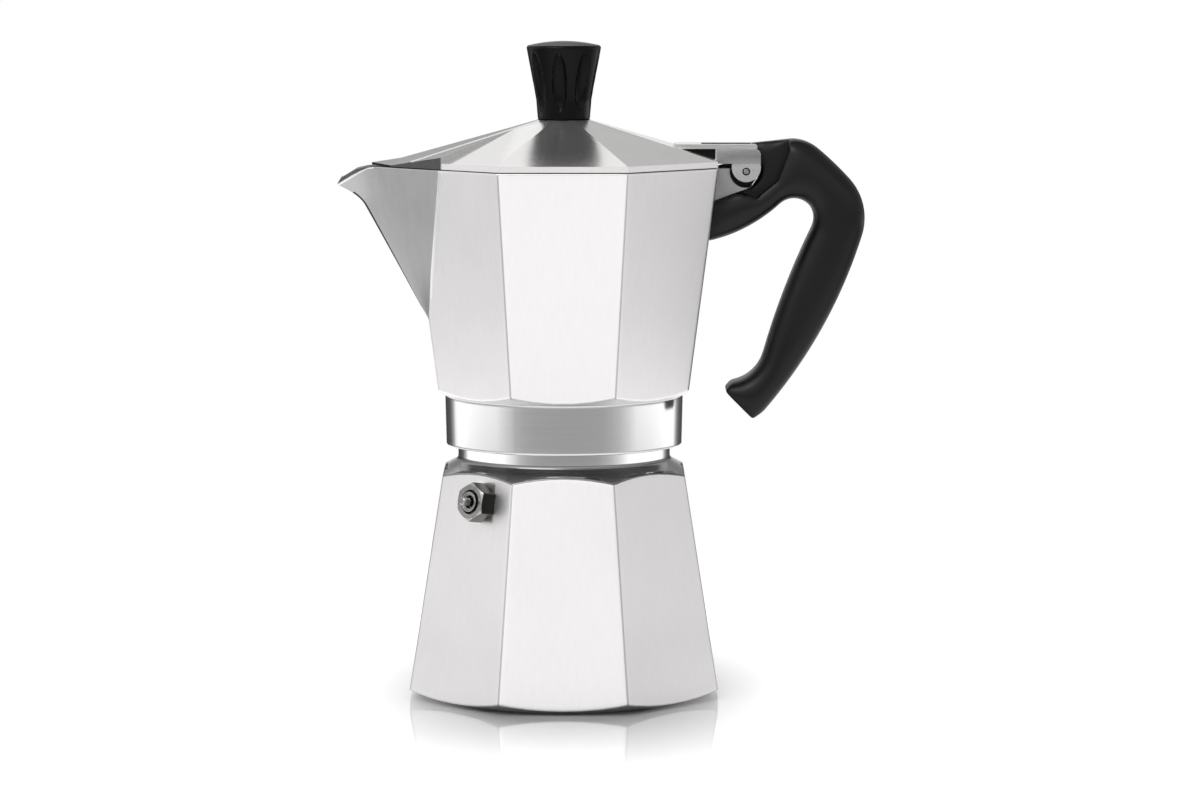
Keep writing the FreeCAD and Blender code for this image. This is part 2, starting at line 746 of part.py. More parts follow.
def chamber_block(inset, foot_inset, rim_inset, top):
    """The upper chamber with its spout, or with insets the hollow in it."""
    rings = []
    for height, keel_inset in (("spout_foot_level", foot_inset), ("rim_height", rim_inset)):
        near = crease_point(height, inset)
        radius = (number(collector_apothem(height)) - inset) * number("corner_ratio")
        turns = [math.radians(-112.5 + 45 * step) for step in range(6)]
        ring = [near] + [Vector(radius * math.cos(turn), radius * math.sin(turn), near.z) for turn in turns]
        ring += [Vector(near.x, -near.y, near.z), Vector(keel_inset - keel_reach(height), 0, near.z), near]
        rings.append(Part.makePolygon(ring))
    block = Part.makeLoft(rings, True, True)
    if top > 0:
        block = block.fuse(Part.Face(rings[1]).extrude(Z_AXIS * top))
    return block


def lip_block(inset):
    """The flared lip under the spout's mouth, or with an inset the channel in it."""
    foot = Vector(inset - keel_reach("lip_foot_level"), 0, number("lip_foot_level") + inset)
    tip_low = Vector(-number("lip_tip_reach") - inset, 0, number("lip_tip_level") + inset)
    tip_high = tip_low + Vector(number("lip_edge") / 2, 0, number("lip_edge") + inset)
    crease = crease_point("lip_back_level", 0)
    keel = keel_reach("lip_back_level")
    half = -crease.y * (keel - number("lip_back_reach")) / (keel + crease.x) - inset
    back = number("lip_back_level") + inset
    wings = [Vector(-number("lip_back_reach"), side * half, back) for side in (-1, 1)]
    faces = [[tip_high, *wings], [foot, *wings]]
    for wing in wings:
        faces.append([foot, tip_low, wing])
        faces.append([tip_low, tip_high, wing])
    return faceted(faces)


wall = number("collector_wall")
chamber_low = frustum("chamber_low", (collector_apothem("collar_top"), "collar_top"),
                      (collector_apothem("spout_foot_level"), "spout_foot_level"))
chamber_high = built("chamber_high", chamber_block(0, 0, 0, 0))
hollow_low = frustum("hollow_low",
                     (collector_apothem("chamber_floor") + " - collector_wall", "chamber_floor"),
                     (collector_apothem("spout_foot_level") + " - collector_wall", "spout_foot_level"))
hollow_high = built("hollow_high", chamber_block(wall, wall, math.sqrt(2) * wall, wall))
lip = built("spout_lip", lip_block(0))
lip_channel = built("spout_channel", lip_block(number("lip_edge")))
mouth = plate("spout_mouth", [
    ("-lip_back_reach", "lip_back_level"),
    ("-lip_tip_reach + lip_edge / 2", "lip_tip_level + lip_edge"),
    ("-lip_tip_reach - lip_back_reach", "lip_tip_level + lip_edge"),
    ("-lip_tip_reach - lip_back_reach", "rim_height + lip_edge"),
    ("-lip_back_reach", "rim_height + lip_edge"),
], "2 * lip_tip_reach")

lug = plate("hinge_lug", [
    (collector_apothem("lug_low_level") + " - collector_wall / 2", "lug_low_level"),
    ("lug_end_place", "lug_end_level"),
    ("pin_place + tongue_round", "pin_level"),
    ("pin_place - tongue_round * sqrt(0.5)", "pin_level + tongue_round * sqrt(0.5)"),
    (collector_apothem("lug_high_level") + " - collector_wall / 2", "lug_high_level"),
], "tongue_width")
tongue = cross_bar("hinge_tongue", "tongue_round", "tongue_width", "pin_place", "pin_level")
casting = fuse("collector_casting", common("chamber_turned", chamber_low, chamber_envelope),
               chamber_high, lip, lug, tongue)
collar_inside = turned("collar_inside", [
    ("0", "collar_level - overcut"),
    ("collar_bore", "collar_level - overcut"),
    ("collar_bore", "neck_level + neck_clear"),
    ("recess_radius", "neck_level + neck_clear"),
    ("recess_radius", "seal_level"),
    ("0", "seal_level"),
])
spigot_hole = cylinder("spigot_hole", "column_spigot_radius + stem_fit", "2 * collector_floor",
                       z="seal_level - collector_floor / 2")
pin_hole = cross_bar("pin_hole", "pin_radius + pin_fit", "tongue_width + 2 * overcut",
                     "pin_place", "pin_level")
lug_slope = "(lug_end_level - lug_low_level) / (lug_end_place - " + collector_apothem("lug_low_level") + ")"
lug_seat = f"(lug_low_level + {lug_slope} * (handle_screw_place - {collector_apothem('lug_low_level')}))"
screw_hole = cylinder("lug_screw_hole", "handle_screw_radius + screw_fit",
                      "handle_screw_grip + handle_screw_bite + screw_tip_gap",
                      "handle_screw_place", "0", f"{lug_seat} - handle_screw_grip")
collar_thread = thread_ridge("collar_thread", "collar_bore", "collar_bore - thread_depth",
                             "thread_level", "collar_thread_turns")
collar_shell = cut("collar_shell", collar, collar_inside, spigot_hole)
threaded_collar = fuse("threaded_collar", collar_shell, collar_thread, refine=False)
hollow = cut("collector_hollow", casting, hollow_low, hollow_high, lip_channel, mouth, collar_inside,
             spigot_hole, pin_hole, screw_hole)
keep("collector", fuse("collector", hollow, threaded_collar, refine=False))

# Coffee column: pressed into the floor, closed at the top, with two outlets.
column_tube = turned("column_tube", [
    ("column_bore", "seal_level + gasket_clearance"),
    ("column_spigot_radius", "seal_level + gasket_clearance"),
    ("column_spigot_radius", "chamber_floor"),
    ("column_flange_radius", "chamber_floor"),
    ("column_flange_radius", "chamber_floor + column_flange"),
    ("column_foot_radius", "chamber_floor + column_flange"),
    ("column_top_radius", "column_level - column_cap"),
    ("column_top_radius / 2", "column_level"),
    ("0", "column_level"),
    ("0", "column_level - column_cap"),
    ("column_bore", "column_level - column_cap"),
])
slot = bind(doc.addObject("Part::Box", "column_slot"), Length="4 * column_top_radius",
            Width="column_slot_width", Height="column_slot_height")
place(slot, "-2 * column_top_radius", "-column_slot_width / 2",
      "column_level - column_cap - column_slot_height")
keep("coffee_column", cut("coffee_column", column_tube, slot))

# Lid: eight sloping facets, a gabled beak over the spout and a forked hinge tab.
lid_band = frustum("lid_band", ("lid_apothem", "lid_bottom"), ("lid_apothem", "lid_top"))
lid_roof = frustum("lid_roof", ("lid_apothem", "lid_top"),
                   ("lid_apothem - (seat_level - lid_top) / lid_slope", "seat_level"))
lid_seat = cylinder("lid_seat", "seat_radius", "lid_wall", z="seat_under")


def moved_in(before, corner, after, inset):
    """A plan corner moved so that both of its edges lie further in by the inset."""
    first = (corner - before).normalize()
    second = (after - corner).normalize()
    normals = [Vector(first.y, -first.x, 0), Vector(second.y, -second.x, 0)]
    return corner + (normals[0] + normals[1]) * (inset / (1 + normals[0].dot(normals[1])))


def beak_block(inset, drop, floor):
    """A gabled wedge over the spout: ridge, two roof planes, hipped tip and skirt."""
    seat = Vector(-number("knob_foot_radius"), 0, 0)
    root = Vector(-number("beak_root_reach"), -number("beak_root_half"), 0)
    shoulder = Vector(-number("beak_shoulder_reach"), -number("beak_shoulder_half"), 0)
    tip = Vector(-number("beak_tip_reach"), 0, 0)
    far_shoulder = Vector(shoulder.x, -shoulder.y, 0)
    root, shoulder, tip = (moved_in(seat, root, shoulder, inset), moved_in(root, shoulder, tip, inset),
                           moved_in(shoulder, tip, far_shoulder, inset))
    hip = Vector(inset - number("beak_hip_reach"), 0, 0)
    for point in (seat, root, shoulder, hip):
        run = -point.x - number("knob_foot_radius")
        fall = run * number("beak_ridge_slope") - point.y * number("beak_side_slope")
        point.z = number("seat_level") - drop - fall
    tip.z = number("beak_tip_level") - drop

    def across(point):
        return Vector(point.x, -point.y, point.z)

    def under(point):
        return Vector(point.x, point.y, floor)

    faces = []
    for edge, corner in ((root, shoulder), (across(root), across(shoulder))):
        faces.append([seat, hip, corner, edge])
        faces.append([hip, tip, corner])
        faces.append([tip, corner, under(corner), under(tip)])
        faces.append([corner, edge, under(edge), under(corner)])
        faces.append([edge, seat, under(seat), under(edge)])
    faces.append([under(point) for point in (tip, shoulder, root, seat, across(root), across(shoulder))])
    return faceted(faces)


beak = built("lid_beak", beak_block(0, 0, number("lid_bottom")))
beak_inside = built("lid_beak_inside", beak_block(number("lid_wall"), number("lid_drop"),
                                                  number("lid_bottom - overcut")))
inner_apothem = "(lid_apothem - lid_wall)"
inner_eave = "(lid_top + lid_slope * lid_wall - lid_drop)"
lid_inside = fuse("lid_inside",
                  frustum("lid_band_inside", (inner_apothem, "lid_bottom - overcut"),
                          (inner_apothem, inner_eave)),
                  frustum("lid_roof_inside", (inner_apothem, inner_eave),
                          (f"{inner_apothem} - (seat_under - {inner_eave}) / lid_slope", "seat_under")))
knob_hole = cylinder("lid_screw_hole", "screw_radius + screw_fit", "4 * lid_wall", z="seat_under - lid_wall")

tab_bottom = "(tab_level - tab_thickness)"
ear_right = "(pin_place + ear_round)"
ears = plate("lid_ears", [
    ("pin_place - ear_length", "pin_level + ear_step"),
    (ear_right, "pin_level + ear_step"),
    (ear_right, f"{tab_bottom} - ear_corner"),
    (f"{ear_right} - ear_corner", tab_bottom, "-ear_corner"),
    ("pin_place - ear_length", tab_bottom),
], "ear_width")
ear_ends = cross_bar("lid_ear_ends", "ear_round", "ear_width", "pin_place", "pin_level + ear_rise")
tab = plate("lid_tab", [
    ("tab_start_place", tab_bottom),
    ("pin_place + tab_end", tab_bottom),
    ("pin_place + tab_end", "tab_level - tab_thickness / 2"),
    ("pin_place + tab_end - tab_thickness / 2", "tab_level", "-tab_thickness / 2"),
    ("tab_start_place", "tab_level"),
], "ear_width + 2 * tab_lip")


def roof_line(x):
    return f"(lid_top + lid_slope * (lid_apothem - ({x})))"


rib_start = "(lid_apothem - (tab_level - lid_top) / lid_slope + tab_sink)"
rib = plate("lid_tab_rib", [
    (rib_start, f"{roof_line(rib_start)} - lid_wall / 2"),
    ("lid_apothem", f"{roof_line('lid_apothem')} - lid_wall / 2"),
    ("pin_place - ear_length + tab_sink", "lid_top"),
    ("pin_place - ear_length + tab_sink", "tab_level - tab_thickness / 2"),
    (rib_start, "tab_level - tab_thickness / 2"),
], "tab_rib_width")
slot_block = plate("lid_tab_slot", [
    ("tab_slot_place", "pin_level - 2 * ear_round"),
    ("pin_place + 2 * ear_round", "pin_level - 2 * ear_round"),
    ("pin_place + 2 * ear_round", "tab_level + 2 * overcut"),
    ("tab_slot_place", "tab_level + 2 * overcut"),
], "slot_width")
ear_holes = cross_bar("lid_ear_holes", "pin_radius + pin_running_gap", "ear_width + 2 * overcut",
                      "pin_place", "pin_level")
lid_solid = fuse("lid_solid", lid_band, lid_roof, lid_seat, beak, ears, ear_ends, tab, rib)
keep("lid", cut("lid", lid_solid, lid_inside, beak_inside, knob_hole, slot_block, ear_holes))
keep("hinge_pin", cross_bar("hinge_pin", "pin_radius", "ear_width", "pin_place", "pin_level"))

# Knob with eight flutes, held from inside the lid by a screw and a washer.
knob_turned = turned("knob_turned", [
    ("0", "seat_level"),
    ("knob_foot_radius", "seat_level"),
    ("knob_waist_radius", "knob_waist_level"),
    ("knob_brim_radius", "knob_brim_level"),
    ("crown_radius", "knob_brim_level + knob_edge", "-knob_edge"),
    ("0", "knob_level", "-knob_dome_radius"),
])
flute_share = "(flute_level - knob_waist_level) / (knob_brim_level - knob_waist_level)"
flute_reach = f"(knob_waist_radius + (knob_brim_radius - knob_waist_radius) * {flute_share})"
flute_lean = math.degrees(math.atan2(number("knob_brim_radius - knob_waist_radius"),
                                     number("knob_brim_level - knob_waist_level")))
flutes = []
for index in range(int(number("flute_count"))):
    direction = -90 - number("flute_turn") + 360 * index / number("flute_count")
    flute = bind(doc.addObject("Part::Ellipsoid", f"knob_flute_{index + 1}"), Radius1="flute_depth",
                 Radius2="flute_length", Radius3="flute_width")
    flutes.append(flute)
    outward = FreeCAD.Rotation(Z_AXIS, direction)
    lean = FreeCAD.Rotation(Y_AXIS, 90 + flute_lean)
    place(flute, f"{flute_reach} * cos({direction} deg)", f"{flute_reach} * sin({direction} deg)",
          "flute_level", outward.multiply(lean))
knob_bore = cylinder("knob_bore", "screw_radius + screw_fit", "knob_screw_reach + screw_tip_gap + overcut",
                     z="seat_level - overcut")
keep("knob", cut("knob", knob_turned, knob_bore, *flutes))
washer_under = "(seat_under - washer_thickness)"
keep("knob_washer", turned("knob_washer", [
    ("screw_radius + screw_fit", washer_under),
    ("washer_radius", washer_under),
    ("washer_radius", "seat_under"),
    ("screw_radius + screw_fit", "seat_under"),
]))
screw_head = turned("knob_screw_head", [
    ("0", f"{washer_under} - screw_head_height"),
    ("screw_head_radius - screw_edge", f"{washer_under} - screw_head_height"),
    ("screw_head_radius", f"{washer_under} - screw_head_height + screw_edge"),
    ("screw_head_radius", washer_under),
    ("screw_radius", washer_under),
    ("screw_radius", "seat_level + knob_screw_reach"),
    ("0", "seat_level + knob_screw_reach"),
])
driver_slot = bind(doc.addObject("Part::Box", "knob_screw_slot"), Length="2 * screw_head_radius",
                   Width="driver_slot_width", Height="driver_slot_depth")
place(driver_slot, "-screw_head_radius", "-driver_slot_width / 2", f"{washer_under} - screw_head_height")
keep("knob_screw", cut("knob_screw", screw_head, driver_slot))

# Handle: one moulding, narrow at the hinge so that the lid's fork can swing past it.


def tangent_arcs(start, heading, bends):
    """Arcs that follow one another smoothly in the XZ plane; each bend is (radius, turn to the left)."""
    arcs = []
    for radius, turn in bends:
        side = math.copysign(1, turn)
        centre = start + Vector(-math.sin(heading), 0, math.cos(heading)) * (side * radius)
        points = [start]
        for share in (0.5, 1):
            angle = heading + math.radians(turn) * share
            points.append(centre - Vector(-math.sin(angle), 0, math.cos(angle)) * (side * radius))
        arcs.append(Part.Arc(*points).toShape())
        start = points[-1]
        heading += math.radians(turn)
    return arcs, start


def handle_blank():
    """The handle's side outline, as thick as the handle, with its long edges rounded."""
    def spot(x, z):
        return Vector(number(x), 0, number(z))

    arm = spot(collector_apothem("arm_level") + " + handle_gap", "arm_level")
    inner, foot_tip = tangent_arcs(arm, math.radians(number("arm_heading")), [
        (number("arm_round"), number("arm_turn")),
        (number("gap_round"), -number("gap_turn")),
        (number("grip_inner_round"), number("grip_inner_turn")),
        (number("foot_round"), -number("foot_turn")),
    ])

    def past_grip(x, z):
        return foot_tip + Vector(number(x), 0, number(z))

    heel = past_grip("heel_x", "-heel_height")
    outer, crown = tangent_arcs(heel, math.radians(number("heel_heading")), [
        (number("grip_outer_round"), number("grip_outer_turn")),
        (number("elbow_round"), number("elbow_turn")),
        (number("brow_round"), number("brow_turn")),
        (number("crown_round"), number("crown_turn")),
    ])
    web_round = "(tongue_round + web_clear)"
    web_top = spot("web_place", "web_level")
    web_low = spot("web_place", f"pin_level + sqrt({web_round} ^ 2 - (web_place - pin_place) ^ 2)")
    web_side = spot(f"pin_place + {web_round}", "pin_level")
    web_foot = spot(f"pin_place + {web_round} * cos(web_turn * 1 deg)",
                    f"pin_level - {web_round} * sin(web_turn * 1 deg)")
    lug_end = spot("lug_end_place + handle_gap", "lug_end_level - handle_gap")
    arm_top = spot(collector_apothem("lug_low_level") + " + handle_gap", "lug_low_level - handle_gap")
    foot = [foot_tip, past_grip("-foot_end_x", "-foot_end_height"),
            past_grip("foot_low_x", "-foot_low_height"), heel]
    brow = Part.makeLine(crown, web_top)
    edges = inner + [Part.makeLine(*pair) for pair in zip(foot, foot[1:])] + outer
    edges += [brow, Part.makeLine(web_top, web_low)]
    edges += [Part.Arc(web_low, web_side, web_foot).toShape()]
    edges += [Part.makeLine(web_foot, lug_end), Part.makeLine(lug_end, arm_top), Part.makeLine(arm_top, arm)]
    face = Part.Face(Part.Wire(edges))
    width = number("handle_width")
    face.translate(Vector(0, -width / 2, 0))
    block = face.extrude(Vector(0, width, 0))
    long_edges = []
    for edge in block.Edges:
        middle = edge.valueAt((edge.FirstParameter + edge.LastParameter) / 2)
        level = Vector(middle.x, 0, middle.z)
        along = any(other.distToShape(Part.Vertex(level))[0] < 1e-4 for other in inner + outer + [brow])
        if along and abs(abs(middle.y) - width / 2) < 1e-4:
            long_edges.append(edge)
    return block.makeFillet(number("handle_round"), long_edges)


handle_body = built("handle_blank", handle_blank())
scoop_corners = [
    ("web_place - overcut", "tab_level + handle_width"),
    ("web_place - overcut", "lug_end_level"),
    ("scoop_low_place", "scoop_low_level"),
    ("scoop_mid_place", "scoop_mid_level"),
    ("scoop_place", "scoop_level"),
    ("scoop_place", "tab_level + handle_width"),
]
scoop = cut("handle_scoop", plate("handle_scoop_wide", scoop_corners, "2 * handle_width"),
            plate("handle_scoop_web", scoop_corners, "tongue_width"))
screw_seat = f"({lug_seat} - handle_gap - handle_screw_grip)"
screw_clear = cylinder("handle_screw_clear", "handle_screw_radius + screw_fit", "4 * handle_width",
                       "handle_screw_place", "0", f"{lug_seat} - 2 * handle_width")
screw_recess = cylinder("handle_screw_sink", "handle_screw_head_radius + 2 * screw_fit", "2 * handle_width",
                        "handle_screw_place", "0", f"{screw_seat} - 2 * handle_width")
keep("handle", cut("handle", handle_body, scoop, screw_clear, screw_recess))
screw_stem = cylinder("handle_screw_stem", "handle_screw_radius",
                      "handle_screw_grip + handle_gap + handle_screw_bite",
                      "handle_screw_place", "0", screw_seat)
screw_button = cylinder("handle_screw_button", "handle_screw_head_radius", "handle_screw_head_height",
                        "handle_screw_place", "0", f"{screw_seat} - handle_screw_head_height")
keep("handle_screw", fuse("handle_screw", screw_stem, screw_button))

doc.recompute()
faults = [item.Name for item in doc.Objects if "Invalid" in item.State or "Error" in item.State]
for name, item in parts.items():
    if item.Shape.isNull() or not item.Shape.isValid() or len(item.Shape.Solids) != 1:
        faults.append(f"{name}: {len(item.Shape.Solids)} solids")
if faults:
    raise RuntimeError("failed: " + ", ".join(faults))
os.makedirs("parts", exist_ok=True)
for name, item in parts.items():
    item.Shape.exportStep(f"parts/{name}.step")
    box = item.Shape.BoundBox
    print(f"{name}: {item.Shape.Volume:.0f} mm3, x {box.XMin:.1f} {box.XMax:.1f},"
          f" y {box.YMin:.1f} {box.YMax:.1f}, z {box.ZMin:.1f} {box.ZMax:.1f}")
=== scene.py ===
import math

import bmesh
import bpy
import numpy as np
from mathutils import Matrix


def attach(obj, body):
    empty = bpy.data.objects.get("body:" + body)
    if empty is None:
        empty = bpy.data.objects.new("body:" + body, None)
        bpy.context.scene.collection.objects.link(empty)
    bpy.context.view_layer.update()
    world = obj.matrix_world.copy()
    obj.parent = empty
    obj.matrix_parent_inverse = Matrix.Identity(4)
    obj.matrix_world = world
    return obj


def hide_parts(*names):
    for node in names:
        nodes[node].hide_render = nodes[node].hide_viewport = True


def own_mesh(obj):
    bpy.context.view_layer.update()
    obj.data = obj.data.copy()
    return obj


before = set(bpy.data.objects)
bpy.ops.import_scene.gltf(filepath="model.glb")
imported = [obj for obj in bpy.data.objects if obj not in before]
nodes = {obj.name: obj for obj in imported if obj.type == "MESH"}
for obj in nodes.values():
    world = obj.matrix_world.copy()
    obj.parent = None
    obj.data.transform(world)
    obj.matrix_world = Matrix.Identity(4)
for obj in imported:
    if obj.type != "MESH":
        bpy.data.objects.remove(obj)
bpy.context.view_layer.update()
scene = bpy.context.scene
scene.view_settings.view_transform = "Standard"
print("frame loaded:", len(nodes), "nodes")

fullTurn = 2 * math.pi
eighth = math.radians(45)
halfEighth = math.tan(eighth / 2)  # half a flat's width for flats one unit from the axis


def linear(hexColour):
    # sRGB hex to the linear values that sockets hold
    parts = np.array([int(hexColour[i:i + 2], 16) for i in (1, 3, 5)]) / 255
    parts = np.where(parts <= 0.04045, parts / 12.92, ((parts + 0.055) / 1.055) ** 2.4)
    return [*parts.tolist(), 1.0]


def addNode(tree, kind, inputs=None, **settings):
    node = tree.nodes.new("ShaderNode" + kind)
    for key, value in settings.items():
        setattr(node, key, value)
    for key, value in (inputs or {}).items():
        if isinstance(value, bpy.types.NodeSocket):
            tree.links.new(value, node.inputs[key])
        else:
            node.inputs[key].default_value = value
    return node


def newMaterial(name, **sockets):
    material = bpy.data.materials.new(name)
    material.use_nodes = True
    tree = material.node_tree
    shader = tree.nodes["Principled BSDF"]
    for key, value in sockets.items():
        shader.inputs[key.replace("_", " ")].default_value = value
    return material, tree, shader


# width of the clouds in millimetres, and the range that grain and clouds fill together
metalCloud = {"width": 34, "low": 0.7, "high": 1.3}


def grainyMetal(name, hexLow, hexHigh, rough, spread, grain, stretch, bump, depth=0.02, metal=1.0):
    # colour and roughness follow a stretched grain and wider clouds; grain is its width and depth that of its
    # ripples, in millimetres
    s = metalCloud
    material, tree, shader = newMaterial(name, Metallic=metal)
    where = addNode(tree, "TexCoord").outputs["Object"]
    turned = addNode(tree, "Mapping", {"Vector": where, "Scale": stretch}).outputs[0]
    noise = addNode(tree, "TexNoise", {"Vector": turned, "Scale": 1000 / grain, "Detail": 3.0}).outputs[0]
    cloud = addNode(tree, "TexNoise", {"Vector": where, "Scale": 1000 / s["width"], "Detail": 2.0}).outputs[0]
    both = addNode(tree, "Math", {0: noise, 1: cloud}, operation="ADD").outputs[0]
    filled = {"Value": both, "From Min": s["low"], "From Max": s["high"]}
    tone = addNode(tree, "MapRange", filled).outputs[0]
    gloss = addNode(tree, "MapRange", {**filled, "To Min": rough - spread, "To Max": rough + spread})
    colour = addNode(tree, "Mix", {"Factor": tone, 6: linear(hexLow), 7: linear(hexHigh)}, data_type="RGBA")
    ripple = addNode(tree, "Bump", {"Height": noise, "Strength": bump, "Distance": depth / 1000})
    tree.links.new(colour.outputs[2], shader.inputs["Base Color"])
    tree.links.new(gloss.outputs[0], shader.inputs["Roughness"])
    tree.links.new(ripple.outputs[0], shader.inputs["Normal"])
    return material


# width of the clouds and depth of the pits in millimetres, the range that the clouds fill, and what they do
# to the gloss
mouldSkin = {"width": 25, "pit": 0.05, "low": 0.3, "high": 0.7, "glossier": 0.03, "duller": 0.05}


def plastic(name, hexLow, hexHigh, rough, sheen, grain, bump):
    # fine pits as a spark-eroded mould leaves them, with wider clouds in the colour and the gloss
    s = mouldSkin
    material, tree, shader = newMaterial(name, Specular_IOR_Level=sheen)
    where = addNode(tree, "TexCoord").outputs["Object"]
    fine = addNode(tree, "TexNoise", {"Vector": where, "Scale": 1000 / grain, "Detail": 2.0}).outputs[0]
    wide = addNode(tree, "TexNoise", {"Vector": where, "Scale": 1000 / s["width"], "Detail": 3.0}).outputs[0]
    colour = addNode(tree, "ValToRGB", {"Fac": wide})
    for element, hexColour in zip(colour.color_ramp.elements, (hexLow, hexHigh)):
        element.color = linear(hexColour)
    gloss = addNode(tree, "MapRange", {"Value": wide, "From Min": s["low"], "From Max": s["high"],
                                       "To Min": rough - s["glossier"], "To Max": rough + s["duller"]})
    pits = addNode(tree, "Bump", {"Height": fine, "Strength": bump, "Distance": s["pit"] / 1000})
    tree.links.new(colour.outputs[0], shader.inputs["Base Color"])
    tree.links.new(gloss.outputs[0], shader.inputs["Roughness"])
    tree.links.new(pits.outputs[0], shader.inputs["Normal"])
    return material


# die-cast aluminium, flats polished on a belt: pale, satin, faint upright lines (coarser than real)
castFlat = grainyMetal("polishedCastAluminium", "#f1efef", "#f5f3f3", rough=0.40, spread=0.02,
                       grain=0.9, stretch=(1, 1, 0.04), bump=0.012)
# the same casting on the spout's sides, brushed and duller, painted greyer as shade; the coffee column takes it
# as its plain grey
greyCastAndSpoutShade = grainyMetal("greyCastAluminiumSpoutShade", "#b8b8b8", "#bfbfbf", rough=0.46, spread=0.03,
                        grain=0.8, stretch=(0.3, 0.3, 0.06), bump=0.03)
# painted shade: dull and near-black, in the hinge's corners, the pin's grooves, the valve's groove and bore, and
# under the lid's tab, beak and knob
shadeBlack = plastic("paintedShadeBlack", "#141414", "#202020", rough=0.60, sheen=0.10, grain=0.8, bump=0.10)
# painted reflection: a dull dark-grey line along the spout's keel, standing in for its dark mirror image
keelShade = plastic("paintedKeelShade", "#3a3a3a", "#464646", rough=0.60, sheen=0.10, grain=0.8, bump=0.10)
# painted shade: rough dark-grey metal on the lip's broad rim and under the beak
shadeGrey = grainyMetal("paintedShadeGreyAluminium", "#5a5a5a", "#6a6a6a", rough=0.50, spread=0.03,
                        grain=0.8, stretch=(1, 1, 1), bump=0.06, depth=0.03)
# painted highlight: bright lines on rounded edges of the casting
highlightEdge = grainyMetal("paintedHighlightAluminium", "#fafafa", "#ffffff", rough=0.30, spread=0.02,
                       grain=0.8, stretch=(1, 1, 0.1), bump=0.02)
# hinge ears ground flat: mid-grey and matt
groundMetal = grainyMetal("groundAluminium", "#868686", "#929292", rough=0.40, spread=0.03,
                          grain=0.5, stretch=(1, 1, 1), bump=0.02)
# lug beside the hinge, left as cast and shot-blasted: a rougher matt grey
lugMetal = grainyMetal("blastedAluminium", "#8e8e8e", "#9c9c9c", rough=0.50, spread=0.03,
                       grain=0.6, stretch=(1, 1, 1), bump=0.05)
# turned on a lathe: fine rings round the axis, glossy enough for upright bands of light
turnedMetal = grainyMetal("turnedAluminium", "#d9d9d9", "#dddddd", rough=0.15, spread=0.01,
                          grain=0.5, stretch=(0.02, 0.02, 1), bump=0.015)
# shoulder and foot of the neck under the collar, turned and rougher, with darker rings as painted shade
turnedShade = grainyMetal("paintedShadeTurnedAluminium", "#8a8a8a", "#969696", rough=0.24, spread=0.03,
                         grain=0.5, stretch=(0.02, 0.02, 1), bump=0.06)
# painted shade: a thin grey line along the corners of the casting
cornerShade = grainyMetal("paintedCornerShadeAluminium", "#b6b6b6", "#c2c2c2", rough=0.42, spread=0.03,
                       grain=0.8, stretch=(1, 1, 0.1), bump=0.03)
# pressed lid, polished and lightly brushed, with a little scattered light in its mirror images
lidMetal = grainyMetal("polishedAluminium", "#dad9d8", "#e2e1e0", rough=0.21, spread=0.02,
                       grain=0.6, stretch=(0.08, 0.08, 1), bump=0.03, metal=0.90)
# roof of the beak, brushed across: the same metal, painted greyer as shade
beakShade = grainyMetal("paintedShadeBeakAluminium", "#9b9b9b", "#a6a6a6", rough=0.30, spread=0.03,
                        grain=0.6, stretch=(1, 0.1, 1), bump=0.04)
# spun and pierced sheet inside: pale, with faint rings
spunMetal = grainyMetal("spunAluminium", "#bdbdbc", "#d2d2d1", rough=0.28, spread=0.04,
                        grain=0.6, stretch=(0.1, 0.1, 1), bump=0.08)
# nickel plate on brass: a little warm, bright
nickel = grainyMetal("nickelPlatedBrass", "#939391", "#b4b4b2", rough=0.20, spread=0.04,
                     grain=0.7, stretch=(1, 1, 1), bump=0.03)
# painted shade: the valve's flat on the shaded side, almost black
darkFlatShade = grainyMetal("paintedShadeBrass", "#1c1c1b", "#2a2a29", rough=0.34, spread=0.05,
                      grain=0.7, stretch=(1, 1, 1), bump=0.05)
# painted shade: the valve's other flats, plated, mid-grey
sideFlatShade = grainyMetal("paintedShadeNickelPlate", "#4a4a48", "#626260", rough=0.30, spread=0.05,
                         grain=0.7, stretch=(1, 1, 1), bump=0.05)
# drawn steel of pin, screws and spring: grey, with lines along the wire
steel = grainyMetal("drawnSteel", "#9c9c9c", "#b6b6b6", rough=0.24, spread=0.04,
                    grain=0.6, stretch=(1, 0.1, 1), bump=0.05)
# phenolic handle and nylon knob: black, satin, with a fine moulded skin
gripBlack = plastic("mouldedBlackPlastic", "#070707", "#0c0c0c", rough=0.34, sheen=0.27, grain=0.35, bump=0.10)
knobBlack = plastic("mouldedBlackKnob", "#030303", "#060606", rough=0.26, sheen=0.13, grain=0.35, bump=0.08)
# silicone of gasket and valve washer: soft and dull
softWhite = plastic("siliconeWhite", "#d9d7d0", "#e6e4de", rough=0.55, sheen=0.4, grain=0.6, bump=0.1)
softRed = plastic("siliconeRed", "#8d2f24", "#a33a2c", rough=0.5, sheen=0.4, grain=0.6, bump=0.1)
print("finishes made")


def addObject(name, data):
    piece = bpy.data.objects.new(name, data)
    scene.collection.objects.link(piece)
    return piece


def dress(mesh, finishes):
    mesh.materials.clear()
    for finish in finishes:
        mesh.materials.append(finish)


def paintFaces(mesh, kinds):
    # smooth faces, each with the number of its finish
    mesh.polygons.foreach_set("material_index", kinds.astype(np.int32))
    mesh.polygons.foreach_set("use_smooth", np.ones(len(mesh.polygons), bool))


